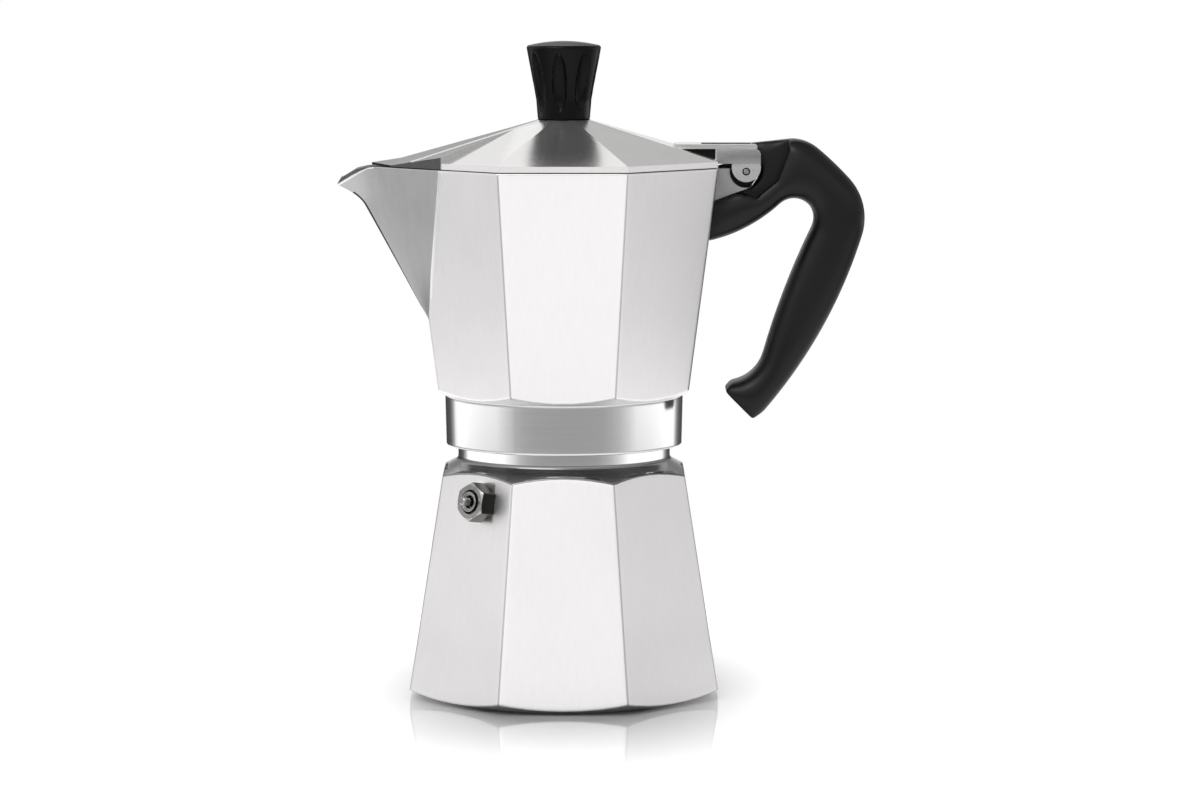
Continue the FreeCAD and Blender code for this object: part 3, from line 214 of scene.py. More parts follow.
def ringSurface(name, rings, finishes, looped=False, paint=0):
    # rows of closed loops joined by quads, in millimetres; the ends meet in a point unless the rows loop too;
    # paint gives each quad the number of its finish
    rows, columns = rings.shape[:2]
    index = np.arange(rows * columns).reshape(rows, columns)
    upper = np.roll(index, -1, 0) if looped else index[1:]
    lower = index if looped else index[:-1]
    quads = np.stack([lower, np.roll(lower, -1, 1), np.roll(upper, -1, 1), upper], 2)
    points = rings.reshape(-1, 3)
    faces = quads.reshape(-1, 4).tolist()
    if not looped:
        first, last = index[0], index[-1]
        points = np.vstack([points, rings[0].mean(0), rings[-1].mean(0)])
        low, high = rows * columns, rows * columns + 1
        faces += np.stack([np.full(columns, low), np.roll(first, -1), first], 1).tolist()
        faces += np.stack([np.full(columns, high), last, np.roll(last, -1)], 1).tolist()
    mesh = bpy.data.meshes.new(name)
    mesh.from_pydata((points / 1000).tolist(), [], faces)
    dress(mesh, finishes)
    kinds = np.broadcast_to(paint, (rows, columns))[:len(quads)]
    ends = np.full(len(faces) - kinds.size, kinds[0, 0])
    paintFaces(mesh, np.concatenate([kinds.ravel(), ends]))
    mesh.update()
    return addObject(name, mesh)


def soften(path, setbacks, steps=4):
    # a station with a setback becomes a parabola that starts and ends that far from it
    rows, marks = [], []
    for i, back in enumerate(setbacks):
        if back == 0:
            rows.append(path[i])
            marks.append(i)
            continue
        before = path[i - 1] - path[i]
        after = path[(i + 1) % len(path)] - path[i]
        before = before / np.linalg.norm(before, axis=-1, keepdims=True)
        after = after / np.linalg.norm(after, axis=-1, keepdims=True)
        for t in np.linspace(0, 1, steps + 1):
            rows.append(path[i] + back * ((1 - t) ** 2 * before + t ** 2 * after))
            marks.append(i)
    return np.array(rows), np.array(marks)


def turnedStation(radius, height, angles):
    # one loop of a turned form: the radius and height may differ from column to column
    radius = np.broadcast_to(np.asarray(radius, float), angles.shape)
    height = np.broadcast_to(np.asarray(height, float), angles.shape)
    return np.stack([radius * np.cos(angles), radius * np.sin(angles), height], 1)


def circle(points):
    return np.linspace(0, fullTurn, points, endpoint=False)


def polygonPlan(sides, flatColumns, cornerColumns, setback):
    # flats one unit from the axis, the first facing +X; each corner is a parabola between points a setback away
    turn = fullTurn / sides
    half = math.tan(turn / 2)
    end = half - setback
    inner, outer = 0.86, 0.96  # shares of a flat; the columns near its ends keep its shading flat
    share = np.concatenate([[-1, -outer], np.linspace(-inner, inner, flatColumns), [outer, 1]])
    flat = np.stack([np.ones_like(share), end * share], 1)
    t = np.linspace(0, 1, cornerColumns + 2)[1:-1, None]
    matrix = np.array([[math.cos(turn), -math.sin(turn)], [math.sin(turn), math.cos(turn)]])
    following = matrix @ np.array([1, -end])
    bend = (1 - t) ** 2 * np.array([1, end]) + 2 * t * (1 - t) * np.array([1, half]) + t ** 2 * following
    side = np.vstack([flat, bend])
    plan = []
    for _ in range(sides):
        plan.append(side)
        side = side @ matrix.T
    return np.vstack(plan)


def placed(points, origin, across, axis):
    # local X along across, local Z along axis
    across, axis = np.asarray(across, float), np.asarray(axis, float)
    return points @ np.array([across, np.cross(axis, across), axis]) + np.asarray(origin, float)


# row is the height between two loops of a threaded surface; the ridge runs out over a turn divided by runOut
thread = {"pitch": 3.5, "foot": 2.2, "crest": 0.8, "depth": 1.5, "runOut": 12, "row": 0.35}


def threadRidge(angles, height, start, turns):
    # height of a helical ridge over its root: a trapezoid across the helix that rises one pitch a turn
    s = thread
    share = np.mod(angles, fullTurn) / fullTurn
    turn = np.round((height - start) / s["pitch"] - share) + share
    away = np.abs(height - start - s["pitch"] * turn)
    ridge = np.clip((s["foot"] / 2 - away) / ((s["foot"] - s["crest"]) / 2), 0, 1)
    ends = np.clip(np.minimum(turn, turns - turn) * s["runOut"], 0, 1)
    return s["depth"] * ridge * ends


# boiler: eight leaning flats between a turned base edge and a turned shoulder, with a threaded neck

boilerSizes = {
    "sides": 8, "flatColumns": 7, "cornerColumns": 5, "cornerShadeColumns": (12, 13),
    "flat": 51.6, "taper": 0.1565, "corner": 0.022, "edge": 0.45,  # axis to flat at the table, and its lean
    "flatRows": (0.02, 0.2, 0.4, 0.6, 0.8, 0.98),
    "hub": 1.0, "baseMiddle": 30, "baseInset": 0.6, "base": 46.5, "baseRise": 4.9, "baseRound": 27.0,
    "basePast": 1.0, "sweepSteps": 400, "arcRows": 9, "arcEnd": 0.94,
    "shoulder": 78.6, "shoulderSlope": 0.53, "shoulderRound": 0.9, "shoulderRows": (0.1, 0.5),
    "shoulderEnd": 2.2, "neck": 35.3, "neckFoot": 0.2, "neckHead": 0.5, "neckStep": 84.6, "neckTop": 98.0,
    "neckRound": 0.3, "root": 33.7, "rootRise": 0.01, "threadFoot": 0.4, "threadEnd": 0.5,
    "threadStart": 88.0, "threadTurns": 2.5,
    "bore": 31.2, "boreLow": 77.15, "chamber": 36.79, "chamberTop": 74.19, "chamberRound": 1.0,
    "chamberFoot": 46.83, "footRound": 5.0, "floor": 4.0, "floorMiddle": 20,
}


def makeBoiler(s):
    # loops from the base up, over the neck and down inside; on the flats a column's radius is the flat's
    # distance from the axis times spread, the plan's own radius there
    flatKind, turnedKind, shoulderShadeKind, cornerShadeKind = range(4)
    plan = polygonPlan(s["sides"], s["flatColumns"], s["cornerColumns"], s["corner"])
    spread = np.linalg.norm(plan, axis=1)
    angles = np.arctan2(plan[:, 1], plan[:, 0])
    # base edge: an arc about the axis, followed until it meets the flat
    outer = np.array([s["flat"] / math.cos(eighth / 2) + s["basePast"], s["baseRise"]])
    inner = np.array([s["base"], 0])
    chord = outer - inner
    length = np.linalg.norm(chord)
    inwards = np.array([-chord[1], chord[0]]) / length
    centre = (inner + outer) / 2 + inwards * math.sqrt(s["baseRound"] ** 2 - length ** 2 / 4)
    low, high = (math.atan2(*(point - centre)[::-1]) for point in (inner, outer))
    sweep = np.linspace(low, high, s["sweepSteps"])
    arcR = centre[0] + s["baseRound"] * np.cos(sweep)
    arcZ = centre[1] + s["baseRound"] * np.sin(sweep)
    over = arcR[:, None] - (s["flat"] - s["taper"] * arcZ)[:, None] * spread
    hit = np.argmax(over > 0, 0)
    column = np.arange(len(spread))
    part = over[hit - 1, column] / (over[hit - 1, column] - over[hit, column])
    meet = sweep[hit - 1] + part * (sweep[1] - sweep[0])

    def flatRadius(z):
        return (s["flat"] - s["taper"] * z) * spread

    foot = centre[1] + s["baseRound"] * np.sin(meet)
    slope = s["shoulderSlope"]
    crest = s["shoulder"] + slope * s["neck"] - slope * s["flat"] * spread
    crest = crest / (1 - slope * s["taper"] * spread)
    stations, backs, finish = [], [], []

    def station(radius, z, back=0.0, kind=turnedKind):
        stations.append(turnedStation(radius, z, angles))
        backs.append(back)
        finish.append(kind)

    station(s["hub"], 0)
    station(s["baseMiddle"], 0)
    station(s["base"] - s["baseInset"], 0)
    for share in np.linspace(0, s["arcEnd"], s["arcRows"]):
        arc = low + (meet - low) * share
        station(centre[0] + s["baseRound"] * np.cos(arc), centre[1] + s["baseRound"] * np.sin(arc))
    station(flatRadius(foot), foot, s["edge"], flatKind)
    for share in s["flatRows"]:
        z = foot + (crest - foot) * share
        station(flatRadius(z), z, 0, flatKind)
    station(flatRadius(crest), crest, s["edge"], shoulderShadeKind)
    for share in s["shoulderRows"]:
        radius = flatRadius(crest) + (s["neck"] + s["shoulderEnd"] - flatRadius(crest)) * share
        station(radius, s["shoulder"] - slope * (radius - s["neck"]), 0, shoulderShadeKind)
    station(s["neck"], s["shoulder"], s["shoulderRound"], shoulderShadeKind)
    station(s["neck"], s["shoulder"] + s["shoulderRound"] + s["neckFoot"])
    station(s["neck"], s["neckStep"] - s["neckHead"])
    station(s["neck"], s["neckStep"], s["neckRound"])
    station(s["root"], s["neckStep"] + s["rootRise"])
    for z in np.arange(s["neckStep"] + s["threadFoot"], s["neckTop"] - s["threadEnd"], thread["row"]):
        station(s["root"] + threadRidge(angles, z, s["threadStart"], s["threadTurns"]), z)
    station(s["root"], s["neckTop"], s["neckRound"])
    station(s["bore"], s["neckTop"], s["neckRound"])
    station(s["bore"], s["boreLow"], s["chamberRound"])
    station(s["chamber"], s["chamberTop"], s["chamberRound"])
    station(s["chamberFoot"], s["floor"], s["footRound"])
    station(s["floorMiddle"], s["floor"])
    station(s["hub"], s["floor"])
    rings, marks = soften(np.array(stations), backs)
    # painted shade lines at the flats' corners
    cornerShadeMask = np.isin(column % (len(plan) // s["sides"]), s["cornerShadeColumns"])
    paint = np.array(finish)[marks][:, None]
    paint = np.where(cornerShadeMask & (paint == flatKind), cornerShadeKind, paint)
    return ringSurface("boilerShell", rings, [castFlat, turnedMetal, turnedShade, cornerShade], paint=paint)


boiler = makeBoiler(boilerSizes)
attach(boiler, "base")
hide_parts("boiler")
print("boiler made")


# collector: eight flaring flats over a turned collar, drawn out into a keeled spout

collectorSizes = {
    "collarLow": 83.4, "collarTop": 99.8, "collar": 39.2, "collarDraft": 0.4, "collarRows": (0.06, 0.5, 0.94),
    "collarRound": 0.5, "collarTopRound": 0.2,
    "underside": 0.565, "flat": 40.9, "flare": 0.1288, "rim": 175.9, "wall": 2.6, "firstCorner": -112.5,
    "edge": 0.5, "cornerSoft": 1.0, "cornerColumns": 7, "flatColumns": (0.03, 0.2, 0.4, 0.6, 0.8, 0.97),
    "flatRows": (0.03, 0.3, 0.6, 0.8, 0.9, 1), "cornerShadeShare": 0.4, "cornerShadeWidth": 0.1,
    # spout: its keel and creases, and where its finishes begin and end
    "spoutFoot": 126.5, "footReach": 45.4, "rimReach": 72.9, "crease": 5.3, "pastRim": 1.05,
    "spoutColumns": (0.015, 0.03, 0.1, 0.17, 0.24, 0.31, 0.4, 0.5, 0.6, 0.7, 0.8, 0.9, 0.97, 0.985),
    "bulgeBelow": 6, "bulgeLength": 8, "keelGrow": 0.8, "keelSoft": 1.4, "keelWall": 0.41,
    "creaseSoft": 1.2, "creaseGrow": 4, "creaseFoot": 4, "shadeBelow": 4, "keelFoot": 1, "keelPast": 4,
    "keelShare": 0.98,
    # lip: width as a share of the spout's sides, drop and reach of its tip, and the powers that shape them
    "lipWidth": 0.27, "lipDrop": 6.3, "lipBow": 1.2, "lipReach": 5.6, "lipTaper": 1.5, "lipStart": 162.5,
    "lipCurl": 2.2, "lipBand": 3.0, "bandGrow": 2.5, "lipShare": 0.03,
    # inside: floor, seal recess and thread
    "floor": 106.5, "floorRound": 2.0, "floorMiddle": 20, "seal": 102.8, "spigot": 7.1, "spigotRound": 0.2,
    "recess": 34.1, "recessLow": 98.5, "recessRound": 0.3, "bore": 35.7, "boreRound": 0.4,
    "threadHead": 0.6, "threadEnd": 0.8, "threadStart": 86.25, "threadTurns": 2.75,
}


def makeCollector(s):
    # loops from the collar up, over the rim and down inside; every column rises to its own height at the rim
    flatKind, turnedKind, spoutShadeKind, keelShadeKind, highlightKind, cornerShadeKind, rimShadeKind = range(7)
    finishes = [castFlat, turnedMetal, greyCastAndSpoutShade, keelShade, highlightEdge, cornerShade, shadeGrey]
    # corners 0 to 5 are those of the flats, and the spout's two creases have its keel between them
    farCrease, keelCorner, nearCrease, count = 6, 7, 8, 9
    cornerSteps = np.linspace(0, 1, s["cornerColumns"])
    flatSteps = np.array(s["flatColumns"])
    spoutSteps = np.array(s["spoutColumns"])
    corner, onFlat, share, lip, spoutSide = [], [], [], [], []
    for k in range(count):
        keel, before = k == keelCorner, k == farCrease
        steps = spoutSteps if keel else 1 - spoutSteps[::-1] if before else flatSteps
        corner += [k] * (len(cornerSteps) + len(steps))
        onFlat += [False] * len(cornerSteps) + [True] * len(steps)
        share += [*cornerSteps, *steps]
        lip += [0.0 if keel else 1.0] * len(cornerSteps)
        lip += [*steps] if keel else [*(1 - steps)] if before else [1.0] * len(steps)
        spoutSide += [keel] * len(cornerSteps) + [keel or before] * len(steps)
    corner, onFlat, share, lip, spoutSide = (np.array(each) for each in (corner, onFlat, share, lip, spoutSide))
    column = np.arange(len(corner))
    rise = s["rim"] - s["spoutFoot"]
    footCorner = (s["flat"] + s["flare"] * (s["spoutFoot"] - s["collarTop"])) * halfEighth
    nearLip = np.clip(1 - lip / s["lipWidth"], 0, 1)
    topZ = s["rim"] - s["lipDrop"] * nearLip ** s["lipBow"]
    # the lip's broad rim rises inwards
    innerZ = np.minimum(topZ + s["lipBand"] * np.clip(nearLip * s["bandGrow"], 0, 1), s["rim"])

    def section(z, inset):
        # plan of every column at its own height: straight runs between nine corners, each softened
        apothem = s["flat"] + s["flare"] * (z - s["collarTop"]) - inset
        up = np.clip((z - s["spoutFoot"]) / rise, 0, s["pastRim"])
        turns = np.radians(s["firstCorner"] + 45 * np.arange(farCrease))
        across = apothem / math.cos(eighth / 2)
        corners = [np.stack([across * math.cos(turn), across * math.sin(turn)], -1) for turn in turns]
        onSpout = z > s["spoutFoot"]
        along = np.where(onSpout, footCorner + (s["crease"] - footCorner) * up, apothem * halfEighth)
        along = along - inset * halfEighth * onSpout
        far = np.stack([-(apothem + along), apothem - along], -1) / math.sqrt(2)
        near = far * np.array([1, -1])
        keelLine = s["footReach"] + (s["rimReach"] - s["footReach"]) * (z - s["spoutFoot"]) / rise
        bulge = np.clip((z - s["spoutFoot"] + s["bulgeBelow"]) / s["bulgeLength"], 0, 1)
        bulge = bulge * bulge * (3 - 2 * bulge)
        reach = apothem + inset + np.maximum(keelLine + s["keelGrow"] - apothem - inset, 0) * bulge
        reach = reach - inset * (1 + s["keelWall"] * up)
        keel = np.stack([-reach, np.zeros_like(z)], -1)
        corners = np.array(corners + [far, keel, near])
        soft = np.full((count,) + z.shape, s["cornerSoft"])
        creaseSoft = s["cornerSoft"] + (s["creaseSoft"] - s["cornerSoft"]) * np.clip(up * s["creaseGrow"], 0, 1)
        soft[farCrease] = soft[nearCrease] = creaseSoft
        soft[keelCorner] = s["keelSoft"]

        def pick(k):
            return corners[k % count, column], soft[k % count, column][:, None]

        here, back = pick(corner)
        before, _ = pick(corner - 1)
        after, backAfter = pick(corner + 1)
        toBefore = (before - here) / np.linalg.norm(before - here, axis=-1, keepdims=True)
        toAfter = (after - here) / np.linalg.norm(after - here, axis=-1, keepdims=True)
        t = share[:, None]
        bend = here + back * ((1 - t) ** 2 * toBefore + t ** 2 * toAfter)
        start, end = here + back * toAfter, after - backAfter * toAfter
        plan = np.where(onFlat[:, None], start + (end - start) * t, bend)
        curl = np.clip((z - s["lipStart"]) / (topZ - s["lipStart"]), 0, 1) ** s["lipCurl"]
        plan[:, 0] -= s["lipReach"] * nearLip ** s["lipTaper"] * curl
        return np.concatenate([plan, z[:, None]], 1)

    plan = section(np.full(len(corner), s["collarTop"]), 0)
    angles = np.arctan2(plan[:, 1], plan[:, 0])
    spread = np.hypot(plan[:, 0], plan[:, 1]) / s["flat"]
    collarHigh = s["collar"] + s["collarDraft"]
    lift = s["underside"] * (s["flat"] * spread - collarHigh) / (1 - s["underside"] * s["flare"] * spread)
    eave = s["collarTop"] + lift
    bulgeFoot = s["spoutFoot"] - s["bulgeBelow"]
    spoutRows = np.concatenate([np.linspace(0.02, 0.7, 14), np.linspace(0.73, 0.985, 14)])
    insideRows = np.concatenate([np.linspace(0.03, 0.3, 8), np.linspace(0.36, 0.94, 9)])
    stations, backs, finish = [], [], []

    def station(points, back=0.0, kind=flatKind):
        stations.append(points)
        backs.append(back)
        finish.append(kind)

    def turned(radius, z, back=0.0, kind=turnedKind):
        station(turnedStation(radius, z, angles), back, kind)

    turned(s["collar"], s["collarLow"], s["collarRound"])
    for step in s["collarRows"]:
        turned(s["collar"] + s["collarDraft"] * step, s["collarLow"] + (s["collarTop"] - s["collarLow"]) * step)
    turned(collarHigh, s["collarTop"], s["collarTopRound"])
    station(section(eave, 0), s["edge"])
    for step in s["flatRows"]:
        station(section(eave + (bulgeFoot - eave) * step, 0))
    for step in spoutRows:
        station(section(bulgeFoot + (topZ - bulgeFoot) * step, 0))
    rimRow = len(stations)
    station(section(topZ, 0), s["edge"])
    station(section(innerZ, s["wall"]), s["edge"])
    for step in insideRows:
        station(section(innerZ + (s["floor"] - innerZ) * step, s["wall"]))
    station(section(np.full(len(corner), s["floor"]), s["wall"]), s["floorRound"])
    turned(s["floorMiddle"], s["floor"], 0, flatKind)
    turned(s["spigot"], s["floor"], s["spigotRound"])
    turned(s["spigot"], s["seal"], s["spigotRound"])
    turned(s["floorMiddle"], s["seal"])
    turned(s["recess"], s["seal"], s["recessRound"])
    turned(s["recess"], s["recessLow"], s["recessRound"])
    turned(s["bore"], s["recessLow"], s["recessRound"])
    for z in np.arange(s["recessLow"] - s["threadHead"], s["collarLow"] + s["threadEnd"], -thread["row"]):
        turned(s["bore"] - threadRidge(angles, z, s["threadStart"], s["threadTurns"]), z)
    turned(s["bore"], s["collarLow"], s["boreRound"])
    rings, marks = soften(np.array(stations), backs)

    high = rings[:, :, 2]
    paint = np.broadcast_to(np.array(finish)[marks][:, None], high.shape)
    outside = (np.arange(len(rings)) < np.argmax(marks == rimRow))[:, None]
    onBend = ~onFlat & (share < 1)
    # the spout's sides are painted greyer as shade
    spoutShadeMask = spoutSide & (high > s["spoutFoot"] - s["shadeBelow"]) & (paint == flatKind)
    paint = np.where(spoutShadeMask, spoutShadeKind, paint)
    # a painted dark line along the keel, standing in for its dark reflection
    ridge = (corner == keelCorner) & ~onFlat | (corner == farCrease) & onFlat & (share > s["keelShare"])
    ridge = ridge & (high > s["spoutFoot"] + s["keelFoot"]) & (high < s["lipStart"] + s["keelPast"])
    paint = np.where(outside & ridge, keelShadeKind, paint)
    # painted highlights along the spout's creases
    creases = onBend & np.isin(corner, (farCrease, nearCrease)) & (high > s["spoutFoot"] + s["creaseFoot"])
    paint = np.where(outside & creases, highlightKind, paint)
    # the rim's rows at the lip are a painted highlight on its edge, and the last of them, its broad rim, painted
    # shade
    onRim = marks == rimRow
    broad = onRim & np.append(~onRim[1:], False)
    rimKind = np.where(broad[:, None], rimShadeKind, highlightKind)
    paint = np.where(onRim[:, None] & (nearLip > s["lipShare"]), rimKind, paint)
    # painted shade lines along the flats' corners
    cornerShadeMask = onBend & (corner < farCrease) & (np.abs(share - s["cornerShadeShare"]) < s["cornerShadeWidth"])
    paint = np.where(outside & cornerShadeMask & (paint == flatKind), cornerShadeKind, paint)
    return ringSurface("collectorShell", rings, finishes, looped=True, paint=paint)


collector = makeCollector(collectorSizes)
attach(collector, "upper")
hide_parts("collector")
print("collector made")


def settle(piece):
    # the piece keeps the shape that its modifiers give it
    bpy.context.view_layer.update()
    shape = bpy.data.meshes.new_from_object(piece.evaluated_get(bpy.context.evaluated_depsgraph_get()))
    piece.modifiers.clear()
    piece.data = shape
    return shape


# how far the rows at a plate's face step in and back, in bevels, and the least angle in degrees of a hard edge
plateRim = ((1, 0), (0.3, 0.3), (0, 1))
plateSharp = 50


def platePiece(name, outline, middle, halfWidth, bevel, finish):
    # a side outline in x and z carried across the width, with bevelled rims
    outline = np.asarray(outline, float)
    ahead = np.roll(outline, -1, 0) - outline
    behind = outline - np.roll(outline, 1, 0)
    tangent = ahead / np.linalg.norm(ahead, axis=1, keepdims=True)
    tangent = tangent + behind / np.linalg.norm(behind, axis=1, keepdims=True)
    tangent /= np.linalg.norm(tangent, axis=1, keepdims=True)
    x, z = outline.T
    area = 0.5 * np.sum(x * np.roll(z, -1) - np.roll(x, -1) * z)
    inward = np.stack([-tangent[:, 1], tangent[:, 0]], 1) * np.sign(area)
    rings = []
    for side, rim in ((-1, plateRim), (1, plateRim[::-1])):
        for inset, back in rim:
            ring = outline + inward * bevel * inset
            y = np.full(len(ring), middle + side * (halfWidth - bevel * back))
            rings.append(np.stack([ring[:, 0], y, ring[:, 1]], 1))
    points = np.array(rings)
    if area > 0:
        points = points[:, ::-1]
    rows, columns = points.shape[:2]
    index = np.arange(rows * columns).reshape(rows, columns)
    quads = np.stack([index[:-1], np.roll(index[:-1], -1, 1), np.roll(index[1:], -1, 1), index[1:]], 2)
    faces = quads.reshape(-1, 4).tolist() + [index[0][::-1].tolist(), index[-1].tolist()]
    mesh = bpy.data.meshes.new(name)
    mesh.from_pydata((points.reshape(-1, 3) / 1000).tolist(), [], faces)
    dress(mesh, [finish])
    paintFaces(mesh, np.zeros(len(faces)))
    mesh.set_sharp_from_angle(angle=math.radians(plateSharp))
    return addObject(name, mesh)


# hinge: tongue and cheeks on the collector, raised plates on the lid's ears, and the pin

hingeSizes = {
    "pinX": 60.2, "pinZ": 174.2, "pin": 1.24, "pinHalf": 7.45, "pinHub": 0.1, "pinFace": 0.75,
    "pinChamfer": 0.15, "pinNeck": 0.92, "neckEnd": 6.5, "neckStart": 6.45, "pinColumns": 40, "pinSharp": 40,
    "sink": 1.3, "lugLow": 163.8, "lugHigh": 175.3, "endX": 61.5, "endZ": 168.6,
    # an arc gives the degrees at which it starts and ends, and its points
    "tongue": 4.3, "tongueArc": (-20, 135, 18), "tongueWidth": 8.0, "tongueBevel": 0.3,
    "pocket": 5.3, "pocketArc": (-70, -192, 26), "cheekWidth": 13.2, "cheekBevel": 0.35,
    "earLeft": 50.4, "earRight": 64.95, "earLow": 176.85, "earTop": 181.4, "earCorner": 2.2,
    "earArc": (0, 90, 9), "earFace": 7.5, "earPlate": 0.26, "earBevel": 0.12,
}


def makeHinge(s):
    def lugPoint(z):
        # in the collector's wall
        shell = collectorSizes
        return [shell["flat"] + shell["flare"] * (z - shell["collarTop"]) - s["sink"], z]

    def arc(x, z, radius, sweep):
        turn = np.radians(np.linspace(*sweep))
        return np.stack([x + radius * np.cos(turn), z + radius * np.sin(turn)], 1)

    foot = [lugPoint(s["lugLow"]), [s["endX"], s["endZ"]]]
    head = [lugPoint(s["lugHigh"])]
    tip = arc(s["pinX"], s["pinZ"], s["tongue"], s["tongueArc"])
    # the tongue between the cheeks is painted near-black as shade
    tongue = platePiece("hingeTongue", np.vstack([foot, tip, head]), 0, s["tongueWidth"] / 2, s["tongueBevel"],
                        shadeBlack)
    # the cheeks beside the tongue end in a round pocket for the lid's ears
    pocket = arc(s["pinX"], s["pinZ"], s["pocket"], s["pocketArc"])
    cheeks = platePiece("hingeCheeks", np.vstack([foot, pocket, head]), 0, s["cheekWidth"] / 2, s["cheekBevel"],
                        lugMetal)
    for piece in (tongue, cheeks):
        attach(piece, "upper")
    corner = arc(s["earRight"] - s["earCorner"], s["earTop"] - s["earCorner"], s["earCorner"], s["earArc"])
    lower = [[s["earLeft"], s["earLow"]], [s["earRight"], s["earLow"]]]
    outline = np.vstack([lower, corner, [[s["earLeft"], s["earTop"]]]])
    for name, side in (("earPlateFront", -1), ("earPlateBack", 1)):
        ear = platePiece(name, outline, side * s["earFace"], s["earPlate"], s["earBevel"], groundMetal)
        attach(ear, "cover")
    half = [(s["pinHub"], s["pinHalf"]), (s["pinFace"], s["pinHalf"]),
            (s["pinNeck"], s["pinHalf"] - s["pinChamfer"]), (s["pinNeck"], s["neckEnd"]),
            (s["pin"], s["neckStart"]), (s["pin"], 0)]
    profile = [(radius, -y) for radius, y in half] + half[-2::-1]
    rings = np.array([turnedStation(radius, y, circle(s["pinColumns"])) for radius, y in profile])
    rings = placed(rings, (s["pinX"], 0, s["pinZ"]), (1, 0, 0), (0, -1, 0))
    # the neck and its step, near both ends, are painted dark as shade
    dark = np.isin(np.arange(len(profile)), (2, 3, 6, 7)).astype(int)
    pin = ringSurface("hingePin", rings, [steel, shadeBlack], paint=dark[:, None])
    pin.data.set_sharp_from_angle(angle=math.radians(s["pinSharp"]))
    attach(pin, "upper")
    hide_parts("hinge_pin")


makeHinge(hingeSizes)
print("hinge made")


# safety valve: a six-sided body with a chamfered face, a ring groove and a short tube round the plunger

valveSizes = {
    "centre": (-26.363, -31.737, 67.2),
    "across": (0.70711, -0.70711, 0), "axis": (-0.698603, -0.698603, 0.154618),
    "sides": 6, "flatColumns": 5, "cornerColumns": 5, "corner": 0.02, "sharp": 28, "shadedHalf": 34,
    "flat": 5.63, "length": 6.0, "chamfer": 5.6, "chamferSlope": 30, "chamferLeast": 0.02, "faceInset": 0.1,
    "groove": 4.05, "grooveFoot": 4.7, "tube": 3.3, "tubeTop": 6.6, "mouth": 2.85, "mouthStep": 0.1,
    "bore": 3.0, "seat": -5.5, "seatBore": 1.7, "shank": 4.6, "shankEnd": -8.0,
    "edge": 0.1, "shankRound": 0.2, "crownRound": 0.06, "faceRound": 0.08, "tubeRound": 0.12,
    "capHole": 2.25, "capLow": 4.8, "capTop": 6.25, "capRound": 0.05, "fit": 0.02,
    "holeDeep": -14.0, "holeOut": 1.0, "holeColumns": 48,
    "springTop": 4.65, "springLength": 8.25, "lift": 1.5,
}


def makeValve(s):
    nickelKind, darkKind, shadedKind, sideFlatShadeKind = range(4)
    plan = polygonPlan(s["sides"], s["flatColumns"], s["cornerColumns"], s["corner"])
    angles = np.arctan2(plan[:, 1], plan[:, 0])
    hexagon = s["flat"] * np.linalg.norm(plan, axis=1)
    past = np.maximum(hexagon - s["chamfer"], s["chamferLeast"])
    crown = s["length"] - past * math.tan(math.radians(s["chamferSlope"]))

    def turnedLoop(path):
        # path holds radius, height and setback of each station along the valve's axis
        stations = np.array([turnedStation(radius, z, angles) for radius, z, back in path])
        rows, marks = soften(stations, [back for radius, z, back in path])
        return placed(rows, s["centre"], s["across"], s["axis"]), marks[:, None]

    path = [
        (s["shank"], s["shankEnd"], s["shankRound"]),
        (s["shank"], 0.0, 0),
        (hexagon, 0.0, s["edge"]),
        (hexagon, crown, s["crownRound"]),
        (s["chamfer"] - s["faceInset"], s["length"], s["faceRound"]),
        (s["groove"], s["length"], s["edge"]),
        (s["groove"], s["grooveFoot"], s["edge"]),
        (s["tube"], s["grooveFoot"], s["edge"]),
        (s["tube"], s["tubeTop"], s["tubeRound"]),
        (s["mouth"], s["tubeTop"], s["tubeRound"]),
        (s["mouth"], s["grooveFoot"], 0),
        (s["bore"], s["grooveFoot"] - s["mouthStep"], 0),
        (s["bore"], s["seat"], 0),
        (s["seatBore"], s["seat"], 0),
        (s["seatBore"], s["shankEnd"], 0),
    ]

    rows, marks = turnedLoop(path)
    # painted shade: dark in the groove and the bore; of the flats, the one that faces along across is darkest,
    # the others mid-grey
    flats = np.isin(marks, (1, 2))
    shaded = np.abs(angles) < math.radians(s["shadedHalf"])
    paint = np.where(flats, np.where(shaded, shadedKind, sideFlatShadeKind), nickelKind)
    paint = np.where(np.isin(marks, (6, 10, 11, 12, 13, 14)), darkKind, paint)
    body = ringSurface("valveBody", rows, [nickel, shadeBlack, darkFlatShade, sideFlatShade], looped=True, paint=paint)
    body.data.set_sharp_from_angle(angle=math.radians(s["sharp"]))
    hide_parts("valve_body")
    hole, rim = s["capHole"], s["mouth"] - s["fit"]
    low, high = s["capLow"], s["capTop"]
    corners = [(hole, low), (rim, low), (rim, high), (hole, high)]
    rows, marks = turnedLoop([(radius, z, s["capRound"]) for radius, z in corners])
    cap = ringSurface("valveCap", rows, [nickel], looped=True)
    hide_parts("valve_cap")
    for piece in (body, cap):
        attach(piece, "base")


def makeBore(s):
    # a round hole for the shank through the boiler's wall
    around = circle(s["holeColumns"])
    rings = np.array([turnedStation(s["shank"] + s["fit"], z, around) for z in (s["holeDeep"], s["holeOut"])])
    cutter = ringSurface("valveBore", placed(rings, s["centre"], s["across"], s["axis"]), [castFlat])
    hole = boiler.modifiers.new("valveBore", "BOOLEAN")
    hole.operation = "DIFFERENCE"
    hole.solver = "EXACT"
    hole.object = cutter
    settle(boiler)
    bpy.data.objects.remove(cutter)


def makeSpring():
    # the coil stays on the ring in the valve's mouth
    mesh = nodes["valve_spring"].data.copy()
    dress(mesh, [steel])
    spring = addObject("valveSpring", mesh)
    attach(spring, "base")
    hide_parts("valve_spring")
    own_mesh(spring)


makeValve(valveSizes)
makeBore(valveSizes)
makeSpring()
print("valve made")


# knob: a turned grip with eight shallow flutes pressed into its waist

